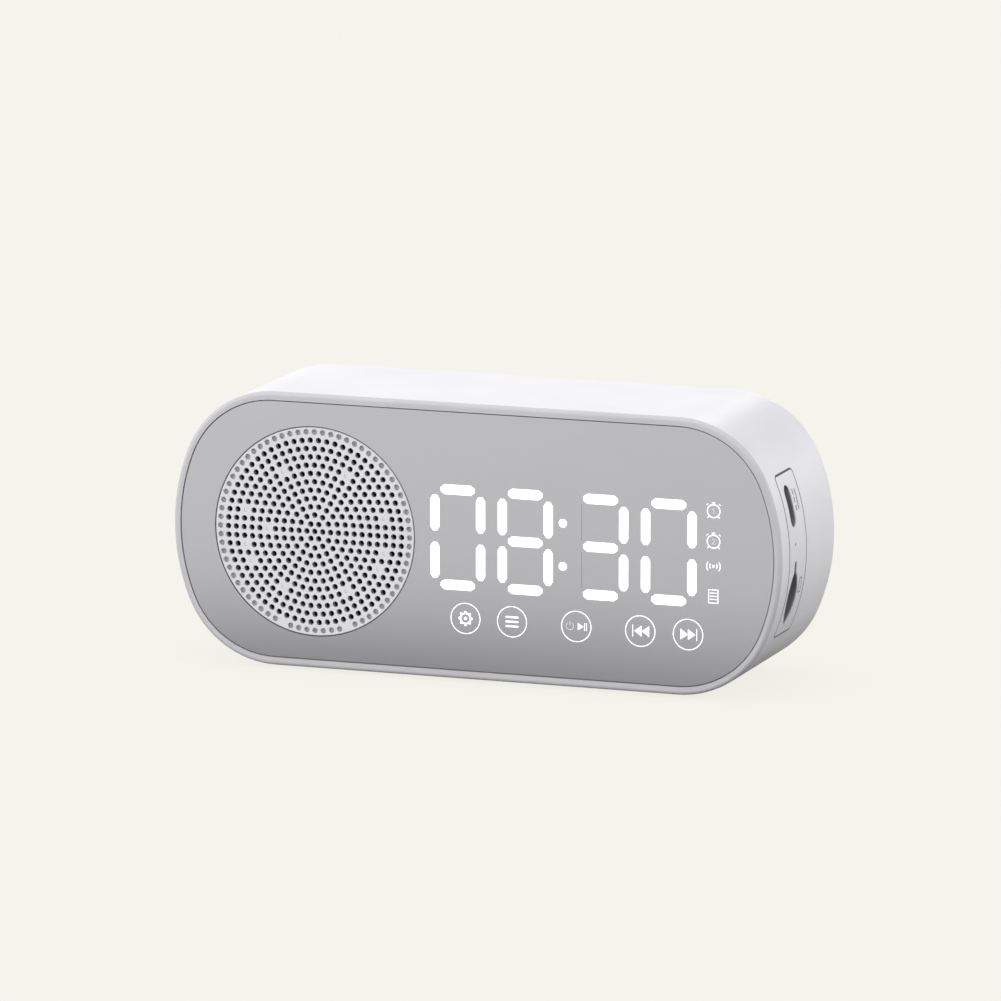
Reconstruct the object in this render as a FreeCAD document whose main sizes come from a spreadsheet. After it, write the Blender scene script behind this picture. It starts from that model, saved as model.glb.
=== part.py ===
import FreeCAD, Part
import math
import os
import re
import Sketcher

# Mirror-front talking clock with a loudspeaker, touch keys, a charging port and a card slot.
# Frame: millimetres, +Z up, front towards -Y, +X to the right as seen from the front.
# The origin is on the table under the middle of the case. Every piece is drawn about the middle of
# the case and its Placement lifts it by the case's half height and the foot's standing height.

os.makedirs("parts", exist_ok=True)
doc = FreeCAD.newDocument("mirror_clock")
sheet = doc.addObject("Spreadsheet::Sheet", "Sizes")

# Driving dimensions: one cell each, in millimetres, counts and degrees where the name says so.
SIZES = {
    # case outline: flat top and bottom, a wide arc at each end, a tighter arc at each corner
    "case_length": 145.0,
    "case_height": 63.0,
    "case_depth": 43.0,
    "case_end_radius": 46.2,
    "case_corner_radius": 22.7,
    "case_wall": 2.2,
    "case_rear_round": 5.0,
    "lip_wall": 0.9,
    "lip_fit": 0.12,
    "lip_floor_gap": 0.2,
    # rim and mounting plate of the front frame
    "rim_depth": 1.2,
    "rim_round": 0.9,
    "plate_thick": 1.6,
    "rim_end_width": 1.7,
    "rim_side_width": 1.97,
    "rim_turn_width": 1.8,
    # mirror panel and its tape
    "mirror_thick": 1.5,
    "mirror_recess": 0.2,
    "mirror_fit": 0.12,
    "tape_thick": 0.2,
    "tape_width": 5.6,
    "tape_edge": 2.0,
    "tape_boss_space": 0.7,
    "tape_side_length": 22.0,
    "tape_short_length": 22.0,
    # speaker grille
    "speaker_end_space": 34.17,
    "grille_edge": 5.63,
    "grille_fit": 0.15,
    "hole_step_share": 0.07967,
    "hole_width": 1.1,
    "sound_edge": 2.0,
    "cloth_thick": 0.3,
    "cloth_fit": 0.3,
    # loudspeaker
    "basket_edge": 0.1,
    "basket_flange": 1.2,
    "basket_flange_width": 3.2,
    "basket_wall": 0.8,
    "basket_depth": 8.6,
    "basket_window_width": 12.0,
    "basket_window_height": 4.6,
    "yoke_bore": 7.9,
    "yoke_wall": 1.8,
    "yoke_depth": 5.4,
    "magnet_radius": 6.3,
    "magnet_thick": 3.2,
    "pole_radius": 6.6,
    "pole_thick": 1.6,
    "coil_inner_radius": 7.05,
    "coil_wall": 0.4,
    "coil_neck_depth": 6.8,
    "coil_depth": 12.4,
    "surround_width": 3.4,
    "cone_edge_depth": 1.6,
    "cone_thick": 0.4,
    "cap_fit": 0.05,
    "surround_fit": 0.3,
    "surround_thick": 0.4,
    "terminal_place": 15.0,
    "terminal_width": 6.0,
    "terminal_height": 3.6,
    "terminal_thick": 1.2,
    # digits, status signs and touch keys behind the mirror: shares are of the display's length,
    # from its left edge to the signs, or of the mirror's height where the name says height
    "display_space": 1.43,
    "digit_first_share": 0.1279,
    "digit_pitch_share": 0.2312,
    "colon_space_share": 0.0251,
    "post_side_share": 0.0784,
    "digit_height_share": 0.0176,
    "bar_rise_height_share": 0.18456,
    "bar_gap": 2.72,
    "bar_width": 2.3,
    "post_gap": 2.6,
    "post_width": 2.2,
    "colon_rise_height_share": 0.083,
    "colon_size": 2.0,
    "sign_end_space": 15.85,
    "sign_width": 3.4,
    "sign_height": 3.6,
    "key_height_share": 0.2963,
    "touch_pad_size": 4.4,
    "touch_pad_fit": 0.3,
    # light box
    "light_box_end_space": 12.5,
    "light_box_top_space": 0.4,
    "light_box_pad_space": 2.0,
    "light_box_fit": 0.3,
    "diffuser_thick": 0.3,
    "chip_length": 1.6,
    "chip_width": 0.8,
    "chip_height": 0.6,
    # main board
    "board_end_space": 7.5,
    "board_edge": 0.3,
    "board_shoulder_space": 15.5,
    "board_step": 3.6,
    "board_thick": 1.6,
    "standoff_radius": 2.2,
    "standoff_edge": 0.2,
    "board_screw_radius": 0.8,
    "board_screw_head_radius": 1.9,
    "board_screw_head": 1.1,
    "board_screw_length": 5.0,
    "thread_fit": 0.05,
    "screw_hole_fit": 0.2,
    "hole_end_space": 0.6,
    # board components
    "processor_size": 7.0,
    "processor_thick": 1.4,
    "processor_space": 43.0,
    "processor_height_place": 7.0,
    "amplifier_length": 5.0,
    "amplifier_width": 4.0,
    "amplifier_thick": 1.5,
    "amplifier_space": 23.0,
    "capacitor_radius": 3.15,
    "capacitor_height": 6.0,
    "capacitor_space": 33.0,
    "capacitor_height_place": 12.0,
    # frame bosses and screws
    "boss_radius": 2.9,
    "frame_boss_radius": 2.7,
    "boss_inset": 4.9,
    "boss_angle_degrees": 68.0,
    "frame_boss_length": 1.4,
    "frame_screw_radius": 1.0,
    "frame_screw_head_radius": 2.1,
    "frame_screw_head": 1.2,
    "frame_screw_length": 9.0,
    "head_fit": 0.2,
    # ports and their panel at the right-hand end
    "panel_depth_place": 12.4,
    "panel_width": 12.2,
    "panel_height": 36.8,
    "panel_corner": 1.2,
    "panel_fit": 0.15,
    "panel_flange": 1.4,
    "panel_flange_thick": 1.0,
    "panel_skin_gap": 0.1,
    "end_reach": 13.0,
    "port_depth": 10.9,
    "port_height_place": 11.0,
    "port_opening_length": 9.4,
    "port_opening_width": 3.6,
    "socket_fit": 0.22,
    "socket_mouth_inset": 3.3,
    "socket_length": 7.4,
    "socket_sheet": 0.3,
    "socket_back": 1.0,
    "tongue_width": 6.7,
    "tongue_thick": 0.7,
    "tongue_inset": 1.0,
    "pinhole_height_place": 2.37,
    "pinhole_radius": 0.45,
    "microphone_radius": 2.0,
    "microphone_length": 1.6,
    "boot_wall": 0.8,
    "boot_length": 2.6,
    "boot_inset": 3.8,
    "slot_height_place": -8.75,
    "slot_length": 14.7,
    "slot_width": 1.5,
    "scoop_height_place": -9.75,
    "scoop_length": 12.7,
    "scoop_width": 6.4,
    # card socket
    "card_socket_inset": 4.7,
    "card_socket_length": 14.6,
    "card_socket_width": 14.4,
    "card_socket_thick": 1.9,
    "card_socket_sheet": 0.2,
    "card_socket_wall": 0.5,
    "card_channel_depth": 1.2,
    "card_fit": 0.15,
    "slider_length": 4.0,
    "slider_width": 1.6,
    "slider_arm_length": 1.6,
    "slider_arm_width": 0.8,
    "card_spring_radius": 0.45,
    "card_spring_length": 4.0,
    # cell
    "cell_radius": 9.1,
    "cell_length": 65.0,
    "cell_end_fit": 0.3,
    "cell_rise": 2.2,
    "cradle_fit": 0.15,
    "cradle_thick": 2.0,
    "cradle_half_spacing": 20.0,
    "cradle_width": 16.0,
    "cell_pad_length": 30.0,
    "cell_pad_width": 7.0,
    "cell_pad_thick": 1.8,
    # plugs and leads
    "plug_length": 6.0,
    "plug_width": 4.6,
    "plug_height": 4.4,
    "speaker_plug_space": 7.0,
    "cell_plug_space": 6.9,
    "cell_plug_rise": 7.0,
    "lead_width": 2.2,
    "lead_thick": 1.1,
    "lead_plug_fit": 0.05,
    "speaker_lead_rise": 9.0,
    "cell_lead_out": 7.4,
    "cell_lead_side": 11.7,
    # rubber feet
    "foot_height": 0.8,
    "foot_recess": 0.7,
    "foot_width": 6.0,
    "foot_corner": 1.5,
    "foot_length": 64.0,
    "foot_spacing": 24.0,
    "foot_fit": 0.1,
}

# Sizes and places that follow from the driving ones, in the sheet as formulas.
DERIVED = {
    "mirror_length": "case_length - 2 * rim_end_width",
    "mirror_height": "case_height - 2 * rim_side_width",
    "mirror_end_radius": "case_end_radius - rim_turn_width",
    "mirror_corner_radius": "case_corner_radius - rim_turn_width",
    # the case's corner arc, and the frame bosses on a turn about its centre
    "corner_height_place": "case_height / 2 - case_corner_radius",
    "corner_spread": "sqrt((case_end_radius - case_corner_radius)^2 - corner_height_place^2)",
    "corner_place": "case_length / 2 - case_end_radius + corner_spread",
    "boss_reach": "case_corner_radius - boss_inset",
    "boss_place": "corner_place + boss_reach * cos(boss_angle_degrees)",
    "boss_height_place": "corner_height_place + boss_reach * sin(boss_angle_degrees)",
    "tape_right_place": "boss_place - frame_screw_head_radius - head_fit - tape_boss_space",
    # speaker and its grille
    "speaker_place": "-case_length / 2 + speaker_end_space",
    "grille_radius": "mirror_height / 2 - grille_edge",
    "hole_ring_step": "grille_radius * hole_step_share",
    "sound_opening": "grille_radius - sound_edge",
    "basket_radius": "grille_radius + basket_edge",
    "basket_throat": "basket_radius - basket_flange_width",
    "cone_edge_radius": "basket_throat - surround_width",
    # display, from the grille to the status signs
    "display_left": "speaker_place + grille_radius + display_space",
    "sign_place": "case_length / 2 - sign_end_space",
    "display_length": "sign_place - display_left",
    "digit_first_place": "display_left + display_length * digit_first_share",
    "digit_pitch": "display_length * digit_pitch_share",
    "colon_space": "display_length * colon_space_share",
    "post_side": "display_length * post_side_share",
    "bar_length": "2 * post_side - bar_gap",
    "digit_height_place": "mirror_height * digit_height_share",
    "bar_rise": "mirror_height * bar_rise_height_share",
    "post_rise": "bar_rise / 2",
    "post_length": "bar_rise - post_gap",
    "colon_rise": "mirror_height * colon_rise_height_share",
    "key_height_place": "-mirror_height * key_height_share",
    # main board, its standoffs and the light box between them
    "board_right": "case_length / 2 - board_end_space",
    "board_shoulder": "case_length / 2 - board_shoulder_space",
    "board_height": "2 * (touch_pad_size / 2 + board_edge - key_height_place)",
    "board_neck_height": "board_height - 2 * board_step",
    "standoff_height_place": "board_height / 2 - standoff_radius",
    "standoff_left_place": "display_left + standoff_radius + standoff_edge",
    "light_box_right": "case_length / 2 - light_box_end_space",
    "light_box_top": "standoff_height_place - standoff_radius - light_box_top_space",
    "light_box_bottom": "key_height_place + touch_pad_size / 2 + light_box_pad_space",
    "processor_place": "display_left + processor_space",
    "amplifier_place": "display_left + amplifier_space",
    "capacitor_place": "display_left + capacitor_space",
    "speaker_plug_place": "display_left + speaker_plug_space",
    "cell_plug_place": "display_left + cell_plug_space",
    "cell_plug_height_place": "cell_plug_rise - board_height / 2",
    # cell, over the floor of the case and against the pad on its back wall
    "cell_place": "boss_place - boss_radius - cell_end_fit - cell_length / 2",
    "cell_depth_place": "case_depth / 2 - case_wall - cell_pad_thick - cell_radius",
    "cell_height_place": "-case_height / 2 + case_wall + cell_rise + cell_radius",
}

SHEET = "Sizes"
SCRATCH_CELL = "A1"
SAME_PLACE = 0.001
SAME_TURN = 0.01
WHOLE_TURN = 360
OPEN_RINGS = 11
HOLES_PER_RING = 6
HOLE_SIDES = 4
SHANK_SIDES = 6
HEAD_SIDES = 12
STANDOFF_SIDES = 8

# touch keys across the display, and status signs up and down from the digits' middle bars
KEY_SHARES = (0.1571, 0.3166, 0.537, 0.7538, 0.9153)
SIGN_SHARES = (0.9275, 0.2945, -0.2422, -0.8706)

# ring number: angles, in degrees, where the perforation is left closed
CLOSED_HOLES = {
    6: (180.0,),
    8: (60.0, 120.0, 240.0, 300.0),
    9: (40 / 3, 500 / 3, 580 / 3, 620 / 3, 1000 / 3, 1040 / 3),
}

rows = [(name, str(number)) for name, number in SIZES.items()]
rows += [(name, "=" + formula) for name, formula in DERIVED.items()]
for row, (name, content) in enumerate(rows, start=1):
    sheet.set("A%d" % row, name)
    sheet.set("B%d" % row, content)
    sheet.setAlias("B%d" % row, name)
scratch = doc.addObject("Spreadsheet::Sheet", "Scratch")
doc.recompute()

nodes = {}
known_values = {}
sheet_names = {name for name, content in rows}


def bound(expression):
    """An expression of named sizes, as it is written outside the sheet."""
    def full_name(match):
        word = match[0]
        return SHEET + "." + word if word in sheet_names else word

    return re.sub(r"\b[a-z][a-z_]*\b", full_name, expression)


def value(expression):
    """The number that an expression of named sizes gives."""
    if expression not in known_values:
        scratch.set(SCRATCH_CELL, "=" + bound(expression))
        scratch.recompute()
        known_values[expression] = float(scratch.get(SCRATCH_CELL))
    return known_values[expression]


def bind(item, **expressions):
    """Ties properties to expressions; a double underscore in a name stands for a point."""
    for prop, expression in expressions.items():
        item.setExpression(prop.replace("__", "."), bound(expression))


# depths, counted from the middle of the case, and the height of that middle above the table
centre_height = "(foot_height + case_height / 2)"
front = "(-case_depth / 2)"
rim_back = "(" + front + " + rim_depth)"
mirror_face = "(" + front + " + mirror_recess)"
mirror_back = "(" + mirror_face + " + mirror_thick)"
plate_face = "(" + mirror_back + " + tape_thick)"
plate_back = "(" + plate_face + " + plate_thick)"
frame_boss_back = "(" + plate_back + " + frame_boss_length)"
rear_inside = "(case_depth / 2 - case_wall)"
port_middle = "(" + front + " + port_depth)"
socket_thick = "(port_opening_width - 2 * socket_fit)"
board_back = "(" + port_middle + " - " + socket_thick + " / 2)"
board_front = "(" + board_back + " - board_thick)"

card_socket_mouth = "(case_length / 2 - card_socket_inset)"
socket_mouth = "(case_length / 2 - socket_mouth_inset)"


def place(item, x="0", y="0", z="0"):
    height = centre_height + " + (" + z + ")"
    bind(item, Placement__Base__x=x, Placement__Base__y=y, Placement__Base__z=height)


def origin_plane(body, role):
    return next(f for f in body.Origin.OriginFeatures if f.Role == role)


def new_body(name, x="0"):
    body = doc.addObject("PartDesign::Body", name)
    body.Label = name
    place(body, x)
    nodes[name] = body
    return body


def sketch_on(body, role, name, offset="0"):
    sketch = body.newObject("Sketcher::SketchObject", name)
    sketch.AttachmentSupport = [(origin_plane(body, role), "")]
    sketch.MapMode = "FlatFace"
    if offset != "0":
        sketch.setExpression("AttachmentOffset.Base.z", bound(offset))
    return sketch


def face_sketch(body, name, depth="0"):
    """Sketch parallel to the clock's face, X across and Z up, at a depth."""
    return sketch_on(body, "XZ_Plane", name, "-(" + depth + ")")


def end_sketch(body, name, x="0"):
    """Sketch parallel to the clock's ends, depth across and Z up, at a place along X."""
    return sketch_on(body, "YZ_Plane", name, x)


def point(x, y):
    return FreeCAD.Vector(value(x), value(y), 0)


def pin(sketch, item, end, x, y):
    """Fixes a point of a sketch by its two distances from the sketch's origin."""
    for kind, axis, distance in (("DistanceX", -2, x), ("DistanceY", -1, y)):
        if distance == "0":
            sketch.addConstraint(Sketcher.Constraint("PointOnObject", item, end, axis))
        else:
            index = sketch.addConstraint(Sketcher.Constraint(kind, -1, 1, item, end, value(distance)))
            sketch.setExpression("Constraints[%d]" % index, bound(distance))


def radius_of(sketch, item, radius):
    index = sketch.addConstraint(Sketcher.Constraint("Radius", item, value(radius)))
    sketch.setExpression("Constraints[%d]" % index, bound(radius))


def polygon(sketch, points):
    """Closed outline of straight lines through points given as expressions."""
    first = sketch.GeometryCount
    count = len(points)
    corners = [point(x, y) for x, y in points]
    for i in range(count):
        sketch.addGeometry(Part.LineSegment(corners[i], corners[(i + 1) % count]), False)
    for i, (x, y) in enumerate(points):
        sketch.addConstraint(Sketcher.Constraint("Coincident", first + i, 2, first + (i + 1) % count, 1))
        pin(sketch, first + i, 1, x, y)


def many_sided(sketch, x, y, radius, sides):
    """Regular outline with its corners on a radius."""
    corners = []
    for i in range(sides):
        turn = WHOLE_TURN * i / sides
        corners.append(("%s + (%s) * cos(%s)" % (x, radius, turn), "%s + (%s) * sin(%s)" % (y, radius, turn)))
    polygon(sketch, corners)


def rectangle(sketch, x0, x1, y0, y1):
    polygon(sketch, [(x0, y0), (x1, y0), (x1, y1), (x0, y1)])


def circle(sketch, x, y, radius):
    centre = point(x, y)
    item = sketch.addGeometry(Part.Circle(centre, FreeCAD.Vector(0, 0, 1), value(radius)), False)
    radius_of(sketch, item, radius)
    pin(sketch, item, 3, x, y)


def arc(sketch, centre, radius, start, end):
    ring = Part.Circle(centre, FreeCAD.Vector(0, 0, 1), radius)
    return sketch.addGeometry(Part.ArcOfCircle(ring, start, end), False)


def tangent_chain(sketch, items):
    for this, following in zip(items, items[1:] + items[:1]):
        sketch.addConstraint(Sketcher.Constraint("Tangent", this, 2, following, 1))


def rounded_rectangle(sketch, x0, x1, y0, y1, radius):
    """Rectangle with round corners, drawn anticlockwise from the lower side."""
    r = value(radius)
    left, right = value(x0), value(x1)
    low, high = value(y0), value(y1)
    quarter = math.pi / 2
    corners = [(right - r, low + r), (right - r, high - r), (left + r, high - r), (left + r, low + r)]
    sides = [
        ((left + r, low), (right - r, low)),
        ((right, low + r), (right, high - r)),
        ((right - r, high), (left + r, high)),
        ((left, high - r), (left, low + r)),
    ]
    items = []
    for i, (start, end) in enumerate(sides):
        line = Part.LineSegment(FreeCAD.Vector(*start, 0), FreeCAD.Vector(*end, 0))
        items.append(sketch.addGeometry(line, False))
        items.append(arc(sketch, FreeCAD.Vector(*corners[i], 0), r, (i - 1) * quarter, i * quarter))
    tangent_chain(sketch, items)
    for i in range(3):
        sketch.addConstraint(Sketcher.Constraint("Equal", items[2 * i + 1], items[2 * i + 3]))
    radius_of(sketch, items[1], radius)
    pin(sketch, items[1], 3, "(%s) - (%s)" % (x1, radius), "(%s) + (%s)" % (y0, radius))
    pin(sketch, items[5], 3, "(%s) + (%s)" % (x0, radius), "(%s) - (%s)" % (y1, radius))
    sketch.addConstraint(Sketcher.Constraint("Horizontal", items[0]))
    sketch.addConstraint(Sketcher.Constraint("Vertical", items[2]))


def upright_slot(sketch, x, y, width, length):
    """Round-ended slot that stands upright about a centre."""
    r = value(width) / 2
    reach = value(length) / 2 - r
    cx, cy = value(x), value(y)
    top = arc(sketch, FreeCAD.Vector(cx, cy + reach, 0), r, 0, math.pi)
    left = Part.LineSegment(FreeCAD.Vector(cx - r, cy + reach, 0), FreeCAD.Vector(cx - r, cy - reach, 0))
    left = sketch.addGeometry(left, False)
    bottom = arc(sketch, FreeCAD.Vector(cx, cy - reach, 0), r, math.pi, 2 * math.pi)
    right = Part.LineSegment(FreeCAD.Vector(cx + r, cy - reach, 0), FreeCAD.Vector(cx + r, cy + reach, 0))
    right = sketch.addGeometry(right, False)
    tangent_chain(sketch, [top, left, bottom, right])
    radius_of(sketch, top, "(%s) / 2" % width)
    half = "((%s) - (%s)) / 2" % (length, width)
    pin(sketch, top, 3, x, "(%s) + %s" % (y, half))
    pin(sketch, bottom, 3, x, "(%s) - %s" % (y, half))


def rounded_outline(sketch, part, inset="0"):
    """Outline of the case or the mirror, drawn anticlockwise and set in by an inset."""
    end_radius = "(%s_end_radius - (%s))" % (part, inset)
    corner_radius = "(%s_corner_radius - (%s))" % (part, inset)
    end_x = "(%s_length / 2 - %s_end_radius)" % (part, part)
    corner_z = "(%s_height / 2 - %s_corner_radius)" % (part, part)
    spread = "sqrt((%s_end_radius - %s_corner_radius)^2 - %s^2)" % (part, part, corner_z)
    half_height = "(%s_height / 2 - (%s))" % (part, inset)
    x_end, z_corner = value(end_x), value(corner_z)
    x_corner = x_end + value(spread)
    meet = math.atan2(z_corner, x_corner - x_end)
    quarter = math.pi / 2
    tall = value(half_height)
    r_end, r_corner = value(end_radius), value(corner_radius)
    right = arc(sketch, FreeCAD.Vector(x_end, 0, 0), r_end, -meet, meet)
    upper_right = arc(sketch, FreeCAD.Vector(x_corner, z_corner, 0), r_corner, meet, quarter)
    top = Part.LineSegment(FreeCAD.Vector(x_corner, tall, 0), FreeCAD.Vector(-x_corner, tall, 0))
    top = sketch.addGeometry(top, False)
    upper_left = arc(sketch, FreeCAD.Vector(-x_corner, z_corner, 0), r_corner, quarter, 2 * quarter - meet)
    left = arc(sketch, FreeCAD.Vector(-x_end, 0, 0), r_end, 2 * quarter - meet, 2 * quarter + meet)
    lower_left = FreeCAD.Vector(-x_corner, -z_corner, 0)
    lower_left = arc(sketch, lower_left, r_corner, 2 * quarter + meet, 3 * quarter)
    bottom = Part.LineSegment(FreeCAD.Vector(-x_corner, -tall, 0), FreeCAD.Vector(x_corner, -tall, 0))
    bottom = sketch.addGeometry(bottom, False)
    lower_right = FreeCAD.Vector(x_corner, -z_corner, 0)
    lower_right = arc(sketch, lower_right, r_corner, 3 * quarter, 4 * quarter - meet)
    tangent_chain(sketch, [right, upper_right, top, upper_left, left, lower_left, bottom, lower_right])
    radius_of(sketch, right, end_radius)
    radius_of(sketch, upper_right, corner_radius)
    sketch.addConstraint(Sketcher.Constraint("Equal", right, left))
    for item in (upper_left, lower_left, lower_right):
        sketch.addConstraint(Sketcher.Constraint("Equal", upper_right, item))
    pin(sketch, right, 3, end_x, "0")
    pin(sketch, left, 3, "-" + end_x, "0")
    for item, height in ((top, half_height), (bottom, "-" + half_height)):
        sketch.addConstraint(Sketcher.Constraint("Horizontal", item))
        index = sketch.addConstraint(Sketcher.Constraint("DistanceY", -1, 1, item, 1, value(height)))
        sketch.setExpression("Constraints[%d]" % index, bound(height))


def feature_of(body, kind, name, sketch, sign, **settings):
    before = body.Shape.Volume if body.Tip else 0
    feature = body.newObject(kind, name)
    feature.Profile = sketch
    for prop, setting in settings.items():
        if isinstance(setting, str) and prop not in ("Type",):
            feature.setExpression(prop, bound(setting))
        else:
            setattr(feature, prop, setting)
    doc.recompute()
    if sign * (feature.Shape.Volume - before) <= 0:
        raise RuntimeError("%s changed nothing in %s" % (name, body.Name))
    return feature


def pad(body, sketch, length, reverse=False):
    name = sketch.Name + "_pad"
    return feature_of(body, "PartDesign::Pad", name, sketch, 1, Length=length, Reversed=reverse)


def pocket(body, sketch, length, reverse=False):
    name = sketch.Name + "_pocket"
    return feature_of(body, "PartDesign::Pocket", name, sketch, -1, Length=length, Reversed=reverse)


def pocket_through(body, sketch):
    name = sketch.Name + "_pocket"
    return feature_of(body, "PartDesign::Pocket", name, sketch, -1, Type="ThroughAll", Midplane=True)


def revolve(body, sketch):
    """Turns a sketch on the XY plane about the axis that runs from front to back."""
    feature = body.newObject("PartDesign::Revolution", sketch.Name + "_turned")
    feature.Profile = sketch
    feature.ReferenceAxis = (sketch, ["V_Axis"])
    feature.Angle = WHOLE_TURN
    doc.recompute()
    return feature


def turned(name, points, x="speaker_place"):
    """Body turned from an outline of (radius, depth) points."""
    body = new_body(name, x)
    sketch = sketch_on(body, "XY_Plane", name + "_profile")
    polygon(sketch, points)
    revolve(body, sketch)
    return body


def round_edges(body, name, depth, radius):
    """Rounds every edge of a body that lies wholly at one depth."""
    base = body.Tip
    level = value(depth)
    picked = []
    for i, edge in enumerate(base.Shape.Edges, start=1):
        box = edge.BoundBox
        if abs(box.YMin - level) < SAME_PLACE and abs(box.YMax - level) < SAME_PLACE:
            picked.append("Edge%d" % i)
    fillet = body.newObject("PartDesign::Fillet", name)
    fillet.Base = (base, picked)
    bind(fillet, Radius=radius)
    doc.recompute()
    return fillet


def block(name, x0, x1, y0, y1, z0, z1):
    """Box between two corners, counted from the middle of the case."""
    box = doc.addObject("Part::Box", name)
    for side, (low, high) in {"Length": (x0, x1), "Width": (y0, y1), "Height": (z0, z1)}.items():
        box.setExpression(side, bound("(%s) - (%s)" % (high, low)))
    place(box, x0, y0, z0)
    return box


def rod(name, radius, x, z, y0, y1):
    """Cylinder that runs from front to back."""
    item = doc.addObject("Part::Cylinder", name)
    item.Placement = FreeCAD.Placement(FreeCAD.Vector(), FreeCAD.Rotation(FreeCAD.Vector(1, 0, 0), -90))
    bind(item, Radius=radius, Height="(%s) - (%s)" % (y1, y0))
    place(item, x, y0, z)
    return item


def cross_rod(name, radius, y, z, x0, x1):
    """Cylinder that runs from left to right."""
    item = doc.addObject("Part::Cylinder", name)
    item.Placement = FreeCAD.Placement(FreeCAD.Vector(), FreeCAD.Rotation(FreeCAD.Vector(0, 1, 0), 90))
    bind(item, Radius=radius, Height="(%s) - (%s)" % (x1, x0))
    place(item, x0, y, z)
    return item


def cut(name, base, tool):
    item = doc.addObject("Part::Cut", name)
    item.Base = base
    item.Tool = tool
    return item


def fuse(name, pieces):
    item = doc.addObject("Part::MultiFuse", name)
    item.Shapes = pieces
    return item


def group(name, pieces):
    """Node of separate solids."""
    item = doc.addObject("Part::Compound", name)
    item.Links = pieces
    return keep(name, item)


def keep(name, item):
    item.Label = name
    nodes[name] = item
    return item


def boss_places():
    """Centres of the four frame bosses, as (x, z) expressions."""
    return [(sx + "boss_place", sz + "boss_height_place") for sx in ("", "-") for sz in ("", "-")]


def standoff_places():
    """Centres of the main board's four standoffs: two at its left end, the others clear of the keys."""
    upper_right = "(%s + %s) / 2" % KEY_PLACES[3:]
    lower_right = "(%s + %s) / 2" % KEY_PLACES[2:4]
    return [
        ("standoff_left_place", "standoff_height_place"),
        ("standoff_left_place", "-standoff_height_place"),
        (upper_right, "standoff_height_place"),
        (lower_right, "-standoff_height_place"),
    ]


KEY_PLACES = tuple("(display_left + display_length * %s)" % share for share in KEY_SHARES)
SIGN_PLACES = tuple("(digit_height_place + bar_rise * %s)" % share for share in SIGN_SHARES)
panel_near = "(" + front + " + panel_depth_place - panel_width / 2)"
panel_far = "(" + front + " + panel_depth_place + panel_width / 2)"


def digit_place(number):
    return "(digit_first_place + %d * digit_pitch + %d * colon_space)" % (number, number // 2)


def span(middle, size):
    return "(%s) - (%s) / 2" % (middle, size), "(%s) + (%s) / 2" % (middle, size)


def body_shell():
    """Deep rounded cup with a thin lip that takes the front frame, bosses, cell cradle and port window."""
    body = new_body("body_shell")
    outline = face_sketch(body, "shell_outline", rim_back)
    rounded_outline(outline, "case")
    pad(body, outline, "case_depth - rim_depth", True)
    round_edges(body, "shell_rear_round", "case_depth / 2", "case_rear_round")
    cavity = face_sketch(body, "shell_cavity", rim_back)
    rounded_outline(cavity, "case", "case_wall")
    pocket(body, cavity, "case_depth - rim_depth - case_wall")
    lip = face_sketch(body, "shell_lip", rim_back)
    rounded_outline(lip, "case", "lip_wall")
    pocket(body, lip, "%s + lip_floor_gap - %s" % (plate_back, rim_back))
    bosses = face_sketch(body, "shell_bosses", rear_inside)
    for x, z in boss_places():
        many_sided(bosses, x, z, "boss_radius", HEAD_SIDES)
    pad(body, bosses, "%s - %s" % (rear_inside, frame_boss_back))
    pilots = face_sketch(body, "shell_pilots", frame_boss_back)
    for x, z in boss_places():
        many_sided(pilots, x, z, "frame_screw_radius + thread_fit", SHANK_SIDES)
    pocket(body, pilots, "frame_screw_length")
    cradle_front, cradle_rear = span("cell_depth_place", "cradle_width")
    root = "(-case_height / 2 + lip_wall)"
    for side, sign in (("left", "-"), ("right", "+")):
        left = "cell_place %s cradle_half_spacing - cradle_thick / 2" % sign
        ribs = end_sketch(body, "cradle_" + side, left)
        rectangle(ribs, cradle_front, cradle_rear, root, "cell_height_place")
        pad(body, ribs, "cradle_thick")
    seat = end_sketch(body, "cradle_seat", "cell_place - cell_length / 2")
    circle(seat, "cell_depth_place", "cell_height_place", "cell_radius + cradle_fit")
    pocket(body, seat, "cell_length", True)
    window = end_sketch(body, "port_window", "case_length / 2")
    rounded_rectangle(window, panel_near, panel_far, "-panel_height / 2", "panel_height / 2", "panel_corner")
    pocket(body, window, "end_reach")
    feet = sketch_on(body, "XY_Plane", "foot_recesses", "-case_height / 2")
    for sign in ("-", ""):
        middle = sign + "foot_spacing / 2"
        foot_outline(feet, middle, "foot_fit")
    pocket(body, feet, "foot_recess", True)


def foot_outline(sketch, middle, fit):
    """Long strip with rounded corners, lying along X."""
    half_length = "(foot_length / 2 + (%s))" % fit
    half_width = "(foot_width / 2 + (%s))" % fit
    low = "(%s) - %s" % (middle, half_width)
    high = "(%s) + %s" % (middle, half_width)
    rounded_rectangle(sketch, "-" + half_length, half_length, low, high, "foot_corner")


def feet():
    for name, sign in (("foot_front", "-"), ("foot_rear", "")):
        body = new_body(name)
        sketch = sketch_on(body, "XY_Plane", name + "_outline", "-case_height / 2 + foot_recess")
        foot_outline(sketch, sign + "foot_spacing / 2", "0")
        pad(body, sketch, "foot_recess + foot_height", True)


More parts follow.
